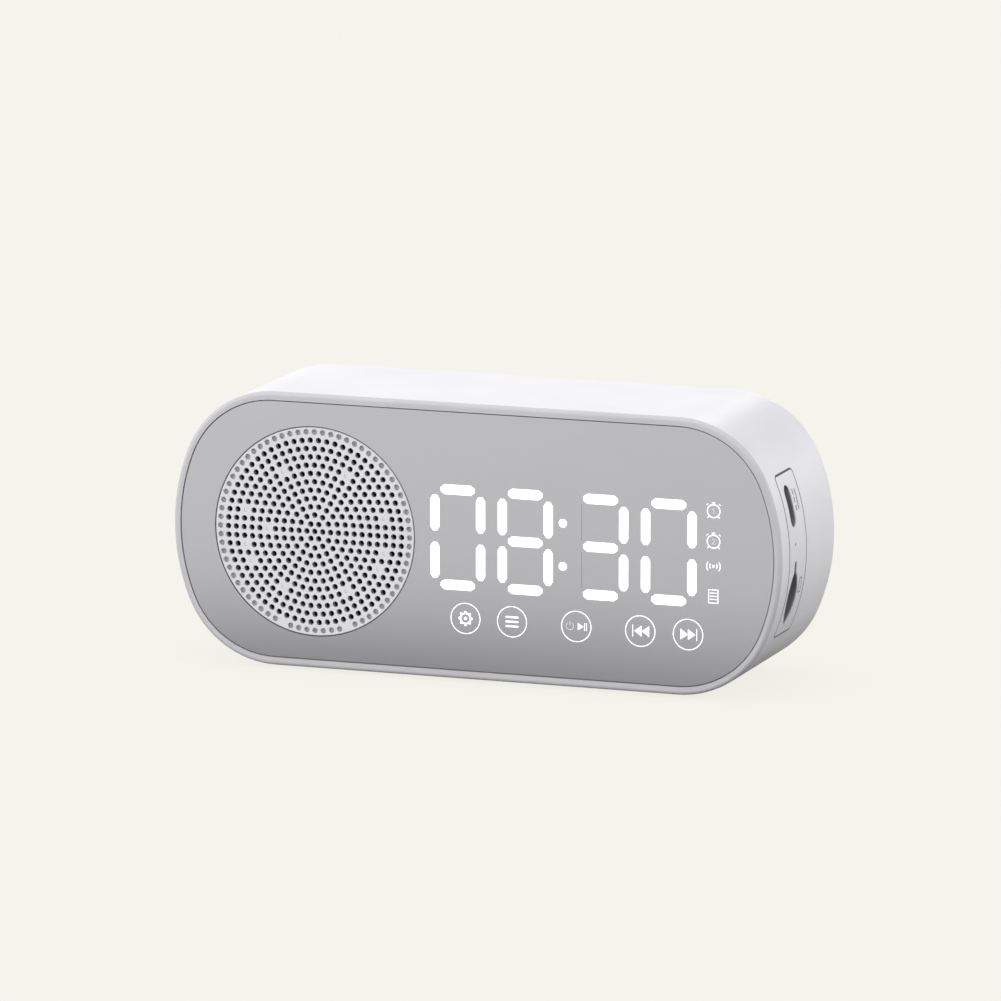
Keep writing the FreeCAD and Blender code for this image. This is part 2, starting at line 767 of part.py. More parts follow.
def front_frame():
    """Silver rim with a plug that fits the shell's lip and a plate that carries mirror, speaker and board."""
    body = new_body("front_frame")
    rim = face_sketch(body, "rim_outline", front)
    rounded_outline(rim, "case")
    pad(body, rim, "rim_depth", True)
    round_edges(body, "rim_front_round", front, "rim_round")
    plug = face_sketch(body, "frame_plug", rim_back)
    rounded_outline(plug, "case", "lip_wall + lip_fit")
    pad(body, plug, "%s - %s" % (plate_back, rim_back), True)
    recess = face_sketch(body, "mirror_recess_outline", front)
    rounded_outline(recess, "mirror", "-mirror_fit")
    pocket(body, recess, "%s - %s" % (plate_face, front))
    sound = face_sketch(body, "sound_opening_outline", plate_face)
    circle(sound, "speaker_place", "0", "sound_opening")
    light_box = ("display_left - light_box_fit", "light_box_right + light_box_fit")
    rectangle(sound, *light_box, "light_box_bottom - light_box_fit", "light_box_top + light_box_fit")
    for x in KEY_PLACES:
        size = "touch_pad_size + 2 * touch_pad_fit"
        rectangle(sound, *span(x, size), *span("key_height_place", size))
    pocket(body, sound, "plate_thick")
    bosses = face_sketch(body, "frame_bosses", plate_back)
    for x, z in boss_places():
        many_sided(bosses, x, z, "frame_boss_radius", HEAD_SIDES)
    pad(body, bosses, "frame_boss_length", True)
    heads = face_sketch(body, "frame_screw_heads", plate_face)
    for x, z in boss_places():
        many_sided(heads, x, z, "frame_screw_head_radius + head_fit", HEAD_SIDES)
    pocket(body, heads, "frame_screw_head + head_fit")
    holes = face_sketch(body, "frame_screw_holes", plate_face)
    for x, z in boss_places():
        many_sided(holes, x, z, "frame_screw_radius + screw_hole_fit", SHANK_SIDES)
    pocket(body, holes, "%s - %s" % (frame_boss_back, plate_face))
    standoffs = face_sketch(body, "board_standoffs", plate_back)
    for x, z in standoff_places():
        many_sided(standoffs, x, z, "standoff_radius", STANDOFF_SIDES)
    pad(body, standoffs, "%s - %s" % (board_front, plate_back), True)
    pilots = face_sketch(body, "board_pilots", board_front)
    for x, z in standoff_places():
        many_sided(pilots, x, z, "board_screw_radius + thread_fit", SHANK_SIDES)
    pocket(body, pilots, "board_screw_length - board_thick + hole_end_space", True)


def mirror_panel():
    body = new_body("mirror_panel")
    outline = face_sketch(body, "mirror_outline", mirror_face)
    rounded_outline(outline, "mirror")
    circle(outline, "speaker_place", "0", "grille_radius + grille_fit")
    pad(body, outline, "mirror_thick", True)


def mirror_tape():
    """Strips of double-sided tape between the mirror and the frame's plate."""
    top = "(mirror_height / 2 - tape_edge)"
    inner = "(%s - tape_width)" % top
    across = ("display_left", "tape_right_place")
    strips = [
        block("tape_top", *across, mirror_back, plate_face, inner, top),
        block("tape_bottom", *across, mirror_back, plate_face, "-" + top, "-" + inner),
    ]
    end = "(mirror_length / 2 - tape_edge - tape_width / 2)"
    side = span("0", "tape_side_length")
    strips.append(block("tape_right", *span(end, "tape_width"), mirror_back, plate_face, *side))
    over = span("speaker_place", "tape_short_length")
    for name, sign in (("tape_over_speaker", ""), ("tape_under_speaker", "-")):
        low, high = span(sign + "(mirror_height / 2 + grille_radius) / 2", "tape_edge")
        strips.append(block(name, *over, mirror_back, plate_face, low, high))
    group("mirror_tape", strips)


def hole_places():
    """Centres of the open perforations: one in the middle and rings with six more holes each."""
    step = value("hole_ring_step")
    places = [(0, 0, 0)]
    for ring in range(1, OPEN_RINGS + 1):
        count = HOLES_PER_RING * ring
        for number in range(count):
            degrees = number * WHOLE_TURN / count
            if any(abs(degrees - closed) < SAME_TURN for closed in CLOSED_HOLES.get(ring, ())):
                continue
            angle = math.radians(degrees)
            places.append((ring * step * math.cos(angle), ring * step * math.sin(angle), angle))
    return places


def speaker_grille():
    """Round perforated plate, flush with the mirror: rings of holes on one face, drawn out to its depth."""
    radius = value("hole_width") / 2
    near = value(mirror_face)
    deep = value("%s - %s" % (plate_face, mirror_face))
    rim = Part.Circle(FreeCAD.Vector(0, near, 0), FreeCAD.Vector(0, -1, 0), value("grille_radius"))
    wires = [Part.Wire(rim.toShape())]
    for x, z, turn in hole_places():
        corners = []
        for corner in range(HOLE_SIDES):
            angle = turn + corner * math.radians(WHOLE_TURN) / HOLE_SIDES
            corners.append(FreeCAD.Vector(x + radius * math.cos(angle), near, z + radius * math.sin(angle)))
        wires.append(Part.makePolygon(corners + corners[:1]))
    plate = Part.makeFace(wires, "Part::FaceMakerCheese").extrude(FreeCAD.Vector(0, deep, 0))
    grille = doc.addObject("Part::Feature", "speaker_grille")
    grille.Shape = plate
    place(grille, "speaker_place")
    keep("speaker_grille", grille)


def dust_cloth():
    back = "(%s + cloth_thick)" % plate_face
    keep("dust_cloth", rod("dust_cloth", "sound_opening - cloth_fit", "speaker_place", "0", plate_face, back))


def ring_profile(inner, outer, near, far):
    """Outline of a ring or disc as (radius, depth) points."""
    return [(inner, near), (outer, near), (outer, far), (inner, far)]


def loudspeaker():
    """Stamped basket, cup magnet and moving parts, all turned about the speaker's axis."""
    seat = plate_back
    flange_back = "(%s + basket_flange)" % seat
    tail = "(%s + basket_depth)" % seat
    floor = "(%s - basket_wall)" % tail
    bowl = "basket_throat + basket_wall"
    outline = [
        ("basket_throat", seat),
        ("basket_radius", seat),
        ("basket_radius", flange_back),
        (bowl, flange_back),
        (bowl, tail),
        ("yoke_bore", tail),
        ("yoke_bore", floor),
        ("basket_throat", floor),
    ]
    basket = turned("speaker_basket", outline)
    deep = span("(%s + %s) / 2" % (flange_back, floor), "basket_window_height")
    across = span("0", "basket_window_width")
    side_windows = end_sketch(basket, "basket_side_windows")
    rectangle(side_windows, *deep, *across)
    pocket_through(basket, side_windows)
    top_windows = sketch_on(basket, "XY_Plane", "basket_top_windows")
    rectangle(top_windows, *across, *deep)
    pocket_through(basket, top_windows)

    yoke_floor = "(%s + yoke_depth)" % tail
    yoke_back = "(%s + yoke_wall)" % yoke_floor
    outline = [
        ("yoke_bore", tail),
        ("yoke_bore + yoke_wall", tail),
        ("yoke_bore + yoke_wall", yoke_back),
        ("0", yoke_back),
        ("0", yoke_floor),
        ("yoke_bore", yoke_floor),
    ]
    turned("speaker_yoke", outline)
    magnet_face = "(%s - magnet_thick)" % yoke_floor
    pole_face = "(%s - pole_thick)" % magnet_face
    axis = ("speaker_place", "0")
    keep("speaker_magnet", rod("speaker_magnet", "magnet_radius", *axis, magnet_face, yoke_floor))
    keep("speaker_top_plate", rod("speaker_top_plate", "pole_radius", *axis, pole_face, magnet_face))

    coil_outer = "(coil_inner_radius + coil_wall)"
    coil_front = "(%s + coil_neck_depth)" % seat
    coil_back = "(%s + coil_depth)" % seat
    turned("voice_coil", ring_profile("coil_inner_radius", coil_outer, coil_front, coil_back))
    edge = "(%s + cone_edge_depth)" % seat
    outline = [
        ("coil_inner_radius", coil_front),
        ("coil_inner_radius", coil_front + " - cone_thick"),
        ("cone_edge_radius", edge + " - cone_thick"),
        ("cone_edge_radius", edge),
        (coil_outer, coil_front),
    ]
    turned("speaker_cone", outline)
    cap_face = "(%s - cone_thick)" % coil_front
    cap = rod("speaker_dust_cap", "coil_inner_radius - cap_fit", *axis, cap_face, coil_front)
    keep("speaker_dust_cap", cap)
    outer = "basket_throat - surround_fit"
    turned("speaker_surround", ring_profile("cone_edge_radius", outer, edge + " - surround_thick", edge))

    across = span("speaker_place + terminal_place", "terminal_height")
    deep = (tail, tail + " + terminal_thick")
    keep("speaker_terminals", block("speaker_terminals", *across, *deep, *span("0", "terminal_width")))


def main_board():
    body = new_body("main_board")
    half = "(board_height / 2)"
    neck = "(board_neck_height / 2)"
    outline = [
        ("display_left", "-" + half),
        ("board_shoulder", "-" + half),
        ("board_shoulder", "-" + neck),
        ("board_right", "-" + neck),
        ("board_right", neck),
        ("board_shoulder", neck),
        ("board_shoulder", half),
        ("display_left", half),
    ]
    sketch = face_sketch(body, "board_outline", board_front)
    polygon(sketch, outline)
    for x, z in standoff_places():
        many_sided(sketch, x, z, "board_screw_radius + screw_hole_fit", SHANK_SIDES)
    pad(body, sketch, "board_thick", True)


def prism(name, sides, radius, x, z, y0, y1):
    """Many-sided bar that runs from front to back, its corners on a radius."""
    item = doc.addObject("Part::Prism", name)
    item.Polygon = sides
    item.Placement = FreeCAD.Placement(FreeCAD.Vector(), FreeCAD.Rotation(FreeCAD.Vector(1, 0, 0), -90))
    bind(item, Circumradius=radius, Height="(%s) - (%s)" % (y1, y0))
    place(item, x, y0, z)
    return item


def screw(name, x, z, head_face, radius, length, head_radius, head, forward):
    """Pan-headed screw: its head's underside is at head_face, its shank runs on from there."""
    toward, away = ("-", "+") if forward else ("+", "-")
    shank_end = "%s %s (%s)" % (head_face, toward, length)
    head_end = "%s %s (%s)" % (head_face, away, head)
    shank_span = (shank_end, head_face) if forward else (head_face, shank_end)
    head_span = (head_face, head_end) if forward else (head_end, head_face)
    shank = prism(name + "_shank", SHANK_SIDES, radius, x, z, *shank_span)
    cap = prism(name + "_head", HEAD_SIDES, head_radius, x, z, *head_span)
    return fuse(name, [shank, cap])


def screws():
    head_face = "(%s + frame_screw_head + head_fit)" % plate_face
    for kind, places, seat, forward in (
        ("frame_screw", boss_places(), head_face, False),
        ("board_screw", standoff_places(), board_back, True),
    ):
        sizes = [kind + part for part in ("_radius", "_length", "_head_radius", "_head")]
        pieces = []
        for i, (x, z) in enumerate(places, start=1):
            pieces.append(screw("%s_%d" % (kind, i), x, z, seat, *sizes, forward))
        group(kind + "s", pieces)


def bars_and_posts(number):
    """Middles and sizes of a digit's seven segments: three bars, then four posts."""
    x = digit_place(number)
    bars = [(x, "digit_height_place" + offset, True) for offset in (" + bar_rise", "", " - bar_rise")]
    posts = []
    for side in (" - post_side", " + post_side"):
        for rise in (" + post_rise", " - post_rise"):
            posts.append((x + side, "digit_height_place" + rise, False))
    return bars + posts


def segment_outline(sketch, x, z, lying):
    """Six-cornered segment that lies or stands, with pointed ends."""
    length, width = ("bar_length", "bar_width") if lying else ("post_length", "post_width")
    tip = "(%s / 2)" % length
    shoulder = "(%s / 2 - %s / 2)" % (length, width)
    side = "(%s / 2)" % width
    upper = [(tip, "0"), (shoulder, side), ("-" + shoulder, side)]
    lower = [("-" + tip, "0"), ("-" + shoulder, "-" + side), (shoulder, "-" + side)]
    ring = upper + lower
    if not lying:
        ring = [(b, a) for a, b in ring]
    polygon(sketch, [("%s + %s" % (x, a), "%s + %s" % (z, b)) for a, b in ring])


def colon_places():
    middle = "((%s + %s) / 2)" % (digit_place(1), digit_place(2))
    return [(middle, "digit_height_place %s colon_rise" % sign) for sign in ("+", "-")]


def display():
    """Light box of white plastic with a chamber for each segment, its diffuser and its light chips."""
    body = new_body("display_reflector")
    box = face_sketch(body, "light_box_outline", board_front)
    rectangle(box, "display_left", "light_box_right", "light_box_bottom", "light_box_top")
    depth = "%s - %s - diffuser_thick" % (board_front, mirror_back)
    pad(body, box, depth)
    chips = []
    for number in range(4):
        chambers = face_sketch(body, "digit_chambers_%d" % (number + 1), board_front)
        for x, z, lying in bars_and_posts(number):
            segment_outline(chambers, x, z, lying)
            chips.append((x, z, lying))
        pocket(body, chambers, depth, True)
    small = face_sketch(body, "sign_chambers", board_front)
    for x, z in colon_places():
        rectangle(small, *span(x, "colon_size"), *span(z, "colon_size"))
        chips.append((x, z, True))
    for z in SIGN_PLACES:
        rectangle(small, *span("sign_place", "sign_width"), *span(z, "sign_height"))
        chips.append(("sign_place", z, True))
    pocket(body, small, depth, True)
    window = ("display_left", "light_box_right", mirror_back, mirror_back + " + diffuser_thick")
    keep("display_diffuser", block("display_diffuser", *window, "light_box_bottom", "light_box_top"))
    pieces = []
    for i, (x, z, lying) in enumerate(chips, start=1):
        long, short = ("chip_length", "chip_width") if lying else ("chip_width", "chip_length")
        chip_span = (board_front + " - chip_height", board_front)
        pieces.append(block("light_chip_%d" % i, *span(x, long), *chip_span, *span(z, short)))
    group("light_chips", pieces)


def touch_pads():
    """Blocks of conductive foam from the board to the back of the mirror, one behind each key."""
    pieces = []
    upright = span("key_height_place", "touch_pad_size")
    for i, x in enumerate(KEY_PLACES, start=1):
        across = span(x, "touch_pad_size")
        pieces.append(block("touch_pad_%d" % i, *across, mirror_back, board_front, *upright))
    group("touch_pads", pieces)


def board_components():
    processor = span("processor_place", "processor_size") + (board_back, board_back + " + processor_thick")
    processor += span("processor_height_place", "processor_size")
    amplifier = span("amplifier_place", "amplifier_length") + (board_back, board_back + " + amplifier_thick")
    amplifier += span("processor_height_place", "amplifier_width")
    group("control_chips", [block("processor", *processor), block("amplifier", *amplifier)])
    can = ("capacitor_radius", "capacitor_place", "capacitor_height_place")
    keep("board_capacitor", rod("board_capacitor", *can, board_back, board_back + " + capacitor_height"))
    depth = (board_back, board_back + " + plug_height")
    for name, x, z in (
        ("speaker_plug", "speaker_plug_place", "0"),
        ("cell_plug", "cell_plug_place", "cell_plug_height_place"),
    ):
        keep(name, block(name, *span(x, "plug_length"), *depth, *span(z, "plug_width")))


def port_panel():
    """Curved strip let into the end wall, held by a flange behind the wall, with its three openings."""
    body = new_body("port_panel")
    flange_face = "case_wall + panel_skin_gap"
    start = "(case_length / 2 - end_reach)"
    reach = "panel_flange"
    flange = end_sketch(body, "panel_flange_outline", start)
    half = "(panel_height / 2 + %s)" % reach
    rectangle(flange, "%s - %s" % (panel_near, reach), "%s + %s" % (panel_far, reach), "-" + half, half)
    pad(body, flange, "end_reach")
    trim_outside(body, "flange_trim", flange_face)
    skin = end_sketch(body, "panel_skin_outline", start)
    half = "(panel_height / 2 - panel_fit)"
    across = (panel_near + " + panel_fit", panel_far + " - panel_fit")
    rounded_rectangle(skin, *across, "-" + half, half, "panel_corner")
    pad(body, skin, "end_reach")
    trim_outside(body, "skin_trim", "0")
    inside = face_sketch(body, "panel_inside")
    rounded_outline(inside, "case", flange_face + " + panel_flange_thick")
    pocket_through(body, inside)
    port = end_sketch(body, "charging_opening", "case_length / 2")
    upright_slot(port, port_middle, "port_height_place", "port_opening_width", "port_opening_length")
    circle(port, port_middle, "pinhole_height_place", "pinhole_radius")
    upright_slot(port, port_middle, "slot_height_place", "slot_width", "slot_length")
    pocket(body, port, "end_reach")
    scoop = end_sketch(body, "thumb_scoop", "case_length / 2")
    lens(scoop, port_middle, "scoop_height_place", "scoop_width", "scoop_length")
    pocket(body, scoop, "end_reach")
    room = end_sketch(body, "card_socket_room", start)
    clear = "card_fit"
    near = "%s - %s" % (board_back, clear)
    far = "%s + card_socket_thick + card_socket_sheet + %s" % (board_back, clear)
    half = "(card_socket_width / 2 + %s)" % clear
    rectangle(room, near, far, "slot_height_place - " + half, "slot_height_place + " + half)
    pocket(body, room, "%s - %s + %s" % (card_socket_mouth, start, clear), True)


def trim_outside(body, name, inset):
    """Takes away whatever lies outside the case's outline set in by an inset."""
    sketch = face_sketch(body, name)
    rectangle(sketch, "-case_length", "case_length", "-case_height", "case_height")
    rounded_outline(sketch, "case", inset)
    pocket_through(body, sketch)


def lens(sketch, x, z, width, length):
    """Pointed eye shape of two equal arcs, standing upright."""
    half, bulge = value(length) / 2, value(width) / 2
    radius = "((%s / 2)^2 + (%s / 2)^2) / (%s)" % (length, width, width)
    r = value(radius)
    swing = math.asin(half / r)
    cx, cz = value(x), value(z)
    right = arc(sketch, FreeCAD.Vector(cx + bulge - r, cz, 0), r, -swing, swing)
    left = arc(sketch, FreeCAD.Vector(cx - bulge + r, cz, 0), r, math.pi - swing, math.pi + swing)
    sketch.addConstraint(Sketcher.Constraint("Coincident", right, 2, left, 1))
    sketch.addConstraint(Sketcher.Constraint("Coincident", left, 2, right, 1))
    pin(sketch, right, 3, "%s + %s / 2 - %s" % (x, width, radius), z)
    pin(sketch, left, 3, "%s - %s / 2 + %s" % (x, width, radius), z)
    radius_of(sketch, right, radius)


def charging_socket():
    """Round-ended steel shell, open towards the end panel, with a contact tongue inside."""
    body = new_body("charging_socket")
    shell = end_sketch(body, "socket_shell_outline", socket_mouth)
    length = "(port_opening_length - 2 * socket_fit)"
    upright_slot(shell, port_middle, "port_height_place", socket_thick, length)
    pad(body, shell, "socket_length", True)
    mouth = end_sketch(body, "socket_mouth_outline", socket_mouth)
    clear = " - 2 * socket_sheet"
    upright_slot(mouth, port_middle, "port_height_place", socket_thick + clear, length + clear)
    pocket(body, mouth, "socket_length - socket_back")
    floor = socket_mouth + " - socket_length + socket_back"
    tongue_span = span(port_middle, "tongue_thick") + span("port_height_place", "tongue_width")
    keep("charging_tongue", block("charging_tongue", floor, socket_mouth + " - tongue_inset", *tongue_span))


def card_socket():
    """Push-push card socket: plastic base with a channel, sheet cover, slider and spring."""
    back = "(%s - card_socket_length)" % card_socket_mouth
    low, high = ("(%s)" % edge for edge in span("slot_height_place", "card_socket_width"))
    base_top = "(%s + card_socket_thick)" % board_back
    whole = block("card_socket_blank", back, card_socket_mouth, board_back, base_top, low, high)
    floor = "(%s - card_channel_depth)" % base_top
    inside = back + " + card_socket_wall"
    upright = (low + " + card_socket_wall", high + " - card_socket_wall")
    channel = block("card_channel", inside, card_socket_mouth, floor, base_top, *upright)
    keep("card_socket_base", cut("card_socket_base", whole, channel))
    cover_top = base_top + " + card_socket_sheet"
    cover = block("card_socket_cover", back, card_socket_mouth, base_top, cover_top, low, high)
    keep("card_socket_cover", cover)
    side = "(%s - card_socket_wall - card_fit)" % high
    rail_side = "(%s - slider_width)" % side
    slider_back = "(%s + card_spring_length)" % inside
    level = (floor + " + card_fit", base_top + " - card_fit")
    rail = block("slider_rail", slider_back, slider_back + " + slider_length", *level, rail_side, side)
    arm_end = slider_back + " + slider_arm_width"
    arm = block("slider_arm", slider_back, arm_end, *level, rail_side + " - slider_arm_length", side)
    keep("card_slider", fuse("card_slider", [rail, arm]))
    axis = ("(%s + %s) / 2" % (floor, base_top), side + " - slider_width / 2")
    keep("card_spring", cross_rod("card_spring", "card_spring_radius", *axis, inside, slider_back))


def microphone():
    """Capsule in a rubber boot that stands behind the pinhole."""
    front_x = "(case_length / 2 - boot_inset)"
    back_x = "(%s - boot_length)" % front_x
    capsule_end = "(%s + microphone_length)" % back_x
    axis = (port_middle, "pinhole_height_place")
    keep("microphone", cross_rod("microphone", "microphone_radius", *axis, back_x, capsule_end))
    outer = cross_rod("boot_outside", "microphone_radius + boot_wall", *axis, back_x, front_x)
    seat = cross_rod("boot_seat", "microphone_radius", *axis, back_x, capsule_end)
    hole = cross_rod("boot_hole", "pinhole_radius", *axis, back_x, front_x)
    keep("microphone_boot", cut("microphone_boot", outer, fuse("boot_hollow", [seat, hole])))


def cell():
    """Round cell in the shell's cradle, held from behind by a foam pad."""
    along = span("cell_place", "cell_length")
    axis = ("cell_depth_place", "cell_height_place")
    keep("battery_cell", cross_rod("battery_cell", "cell_radius", *axis, *along))
    across = span("cell_place", "cell_pad_length")
    depth = ("cell_depth_place + cell_radius", rear_inside)
    keep("cell_pad", block("cell_pad", *across, *depth, *span("cell_height_place", "cell_pad_width")))


def ribbon(name, route, height):
    """Flat two-core lead at one height: straight runs joined by tangent arcs along an (x, y) route."""
    corners = [FreeCAD.Vector(value(x), value(y), 0) for x, y in route]
    bend_share = 0.45
    edges = []
    start = corners[0]
    length = 0
    for before, corner, after in zip(corners, corners[1:], corners[2:]):
        into = (corner - before).normalize()
        out = (after - corner).normalize()
        trim = bend_share * min((corner - before).Length, (after - corner).Length)
        half_turn = into.getAngle(out) / 2
        radius = trim / math.tan(half_turn)
        bend_start = corner - into * trim
        bend_end = corner + out * trim
        inward = (out - into).normalize()
        middle = corner + inward * (radius / math.cos(half_turn) - radius)
        edges.append(Part.LineSegment(start, bend_start).toShape())
        edges.append(Part.Arc(bend_start, middle, bend_end).toShape())
        length += (bend_start - start).Length + radius * 2 * half_turn
        print(name, "bend radius", round(radius, 2))
        start = bend_end
    edges.append(Part.LineSegment(start, corners[-1]).toShape())
    length += (corners[-1] - start).Length
    path = Part.Wire(edges)
    along = (corners[1] - corners[0]).normalize()
    across = FreeCAD.Vector(-along.y, along.x, 0) * (value("lead_thick") / 2)
    up = FreeCAD.Vector(0, 0, value("lead_width") / 2)
    section = [corners[0] + side for side in (across + up, up - across, -across - up, across - up)]
    profile = Part.makePolygon(section + section[:1])
    shape = path.makePipeShell([profile], True, False)
    print(name, "length", round(length, 1))
    lead = doc.addObject("Part::Feature", name)
    lead.Shape = shape
    place(lead, z=height)
    keep(name, lead)


def leads():
    """Speaker lead from terminals to board plug, and cell lead from the cell's end to its plug."""
    terminal_back = "(%s + basket_depth + terminal_thick)" % plate_back
    terminal_x = "speaker_place + terminal_place"
    plug_back = "(%s + plug_height)" % board_back
    bridge = terminal_back + " + speaker_lead_rise"
    route = [
        (terminal_x, terminal_back),
        (terminal_x, bridge),
        ("speaker_plug_place", bridge),
        ("speaker_plug_place", plug_back),
    ]
    ribbon("speaker_lead", route, "0")
    cell_end = "(cell_place - cell_length / 2)"
    out = "min(%s - cell_lead_out; cell_plug_place - plug_length / 2 - cell_lead_side)" % cell_end
    cell_tag = "cell_depth_place - cell_radius / 2"
    plug_side = "cell_plug_place - plug_length / 2"
    plug_entry = "%s - lead_thick / 2 - lead_plug_fit" % plug_back
    route = [(cell_end, cell_tag), (out, cell_tag), (out, plug_entry), (plug_side, plug_entry)]
    ribbon("cell_lead", route, "cell_plug_height_place")


body_shell()
front_frame()
mirror_panel()
mirror_tape()
speaker_grille()
dust_cloth()
loudspeaker()
main_board()
screws()
display()
touch_pads()
board_components()
port_panel()
charging_socket()
card_socket()
microphone()
cell()
leads()
feet()

doc.removeObject(scratch.Name)
doc.recompute()
for item in doc.Objects:
    if "Invalid" in item.State or "Error" in item.State:
        raise RuntimeError("%s is %s" % (item.Name, item.State))
for name, item in nodes.items():
    if item.Shape.isNull() or not item.Shape.isValid():
        raise RuntimeError("%s has no valid shape" % name)
for name, item in nodes.items():
    item.Shape.exportStep("parts/%s.step" % name)
print(len(nodes), "nodes written")
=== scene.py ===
import math

import bmesh
import bpy
from mathutils import Matrix, Vector


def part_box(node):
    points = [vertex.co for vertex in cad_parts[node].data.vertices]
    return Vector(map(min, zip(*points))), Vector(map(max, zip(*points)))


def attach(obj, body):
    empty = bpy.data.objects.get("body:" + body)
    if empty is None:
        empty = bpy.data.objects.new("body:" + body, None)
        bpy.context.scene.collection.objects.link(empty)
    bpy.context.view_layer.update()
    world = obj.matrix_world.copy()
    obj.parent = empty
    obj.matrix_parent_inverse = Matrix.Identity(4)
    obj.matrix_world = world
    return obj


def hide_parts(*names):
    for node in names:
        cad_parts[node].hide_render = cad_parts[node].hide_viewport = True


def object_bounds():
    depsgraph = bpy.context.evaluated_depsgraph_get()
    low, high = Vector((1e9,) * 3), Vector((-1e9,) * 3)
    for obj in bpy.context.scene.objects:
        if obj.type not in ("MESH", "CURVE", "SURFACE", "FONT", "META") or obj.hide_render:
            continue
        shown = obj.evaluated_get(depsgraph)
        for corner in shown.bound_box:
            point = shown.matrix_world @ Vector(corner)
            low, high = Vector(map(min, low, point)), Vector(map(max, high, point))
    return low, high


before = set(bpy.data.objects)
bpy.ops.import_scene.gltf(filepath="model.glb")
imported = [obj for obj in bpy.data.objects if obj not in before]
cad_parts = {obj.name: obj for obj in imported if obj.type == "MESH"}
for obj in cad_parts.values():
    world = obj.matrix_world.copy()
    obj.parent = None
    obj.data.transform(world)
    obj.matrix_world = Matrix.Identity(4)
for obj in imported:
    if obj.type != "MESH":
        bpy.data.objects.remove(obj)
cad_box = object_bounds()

MM = 0.001
HOUSING = "housing"

# The face: its plane is the mirror's front, its middle the mirror's middle.
mirror_low, mirror_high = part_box("mirror_panel")
FACE_Y = mirror_low[1]
FACE_Z = (mirror_low[2] + mirror_high[2]) / 2

# The right-hand end: the case's end arc, as in the part.
END_RADIUS = 46.2 * MM
END_CENTRE = 26.3 * MM
CASE_FRONT = cad_box[0][1]


def colour(red, green, blue):
    """Linear colour of an sRGB colour given from 0 to 255."""
    shares = [channel / 255 for channel in (red, green, blue)]
    return [s / 12.92 if s <= 0.04045 else ((s + 0.055) / 1.055) ** 2.4 for s in shares] + [1.0]


BACKGROUND = colour(244, 243, 236)


# Materials

# shares of the noise between which a surface's tone changes, and how far gloss and light vary
MOTTLE_LOW, MOTTLE_HIGH = 0.3, 0.7
MOTTLE_SCALE, GLOW_SCALE = 60.0, 400.0
GLOSS_SPREAD, GLOW_SPREAD = 0.1, 0.03
GRAIN_HEIGHT = 0.02 * MM


def new_material(name):
    """New material with its nodes, its links and its main shader."""
    material = bpy.data.materials.new(name)
    material.use_nodes = True
    tree = material.node_tree
    return material, tree.nodes, tree.links, tree.nodes["Principled BSDF"]


def add_noise(nodes, links, coordinates, scale, detail, stretch=(1, 1, 1)):
    """Noise in the object's own space, so that it stays on the piece."""
    mapping = nodes.new("ShaderNodeMapping")
    mapping.inputs["Scale"].default_value = stretch
    links.new(coordinates.outputs["Object"], mapping.inputs["Vector"])
    texture = nodes.new("ShaderNodeTexNoise")
    texture.inputs["Scale"].default_value = scale
    texture.inputs["Detail"].default_value = detail
    links.new(mapping.outputs["Vector"], texture.inputs["Vector"])
    return texture


def surface(
    name, base, roughness, metallic=0.0, mottle=0.03, grain=0.1, grain_scale=4000.0,
    stretch=(1, 1, 1), coat=0.0,
):
    """Moulded, drawn or woven surface: a slow change of tone, a change of gloss and a fine grain."""
    material, nodes, links, shader = new_material(name)
    coordinates = nodes.new("ShaderNodeTexCoord")
    slow = add_noise(nodes, links, coordinates, MOTTLE_SCALE, 3.0)
    tones = nodes.new("ShaderNodeValToRGB")
    tones.color_ramp.elements[0].position = MOTTLE_LOW
    tones.color_ramp.elements[1].position = MOTTLE_HIGH
    tones.color_ramp.elements[0].color = [c * (1 - mottle) for c in base[:3]] + [1.0]
    tones.color_ramp.elements[1].color = [min(1.0, c * (1 + mottle)) for c in base[:3]] + [1.0]
    links.new(slow.outputs["Fac"], tones.inputs["Fac"])
    links.new(tones.outputs["Color"], shader.inputs["Base Color"])
    fine = add_noise(nodes, links, coordinates, grain_scale, 2.0, stretch)
    gloss = nodes.new("ShaderNodeMapRange")
    gloss.inputs["To Min"].default_value = roughness * (1 - GLOSS_SPREAD)
    gloss.inputs["To Max"].default_value = min(1.0, roughness * (1 + GLOSS_SPREAD))
    links.new(fine.outputs["Fac"], gloss.inputs["Value"])
    links.new(gloss.outputs["Result"], shader.inputs["Roughness"])
    bump = nodes.new("ShaderNodeBump")
    bump.inputs["Strength"].default_value = grain
    bump.inputs["Distance"].default_value = GRAIN_HEIGHT
    links.new(fine.outputs["Fac"], bump.inputs["Height"])
    links.new(bump.outputs["Normal"], shader.inputs["Normal"])
    shader.inputs["Metallic"].default_value = metallic
    shader.inputs["Coat Weight"].default_value = coat
    return material


def paint_recess_shade(material, depth_of, shallow, deep, tone):
    """Paint shade on a material where it lies below its face, in place of the shade in its recesses; depth_of
    adds the nodes that measure how far, tone is the shade's colour.
    """
    nodes, links = material.node_tree.nodes, material.node_tree.links
    colour_input = nodes["Principled BSDF"].inputs["Base Color"]
    share = nodes.new("ShaderNodeMapRange")
    share.inputs["From Min"].default_value = shallow * MM
    share.inputs["From Max"].default_value = deep * MM
    links.new(depth_of(nodes, links), share.inputs["Value"])
    mix = nodes.new("ShaderNodeMixRGB")
    mix.inputs["Color2"].default_value = tone
    links.new(share.outputs["Result"], mix.inputs["Fac"])
    links.new(colour_input.links[0].from_socket, mix.inputs["Color1"])
    links.new(mix.outputs["Color"], colour_input)


def vector_math(nodes, links, operation, value, operand):
    node = nodes.new("ShaderNodeVectorMath")
    node.operation = operation
    links.new(value, node.inputs[0])
    if operand is not None:
        node.inputs[1].default_value = operand
    return node


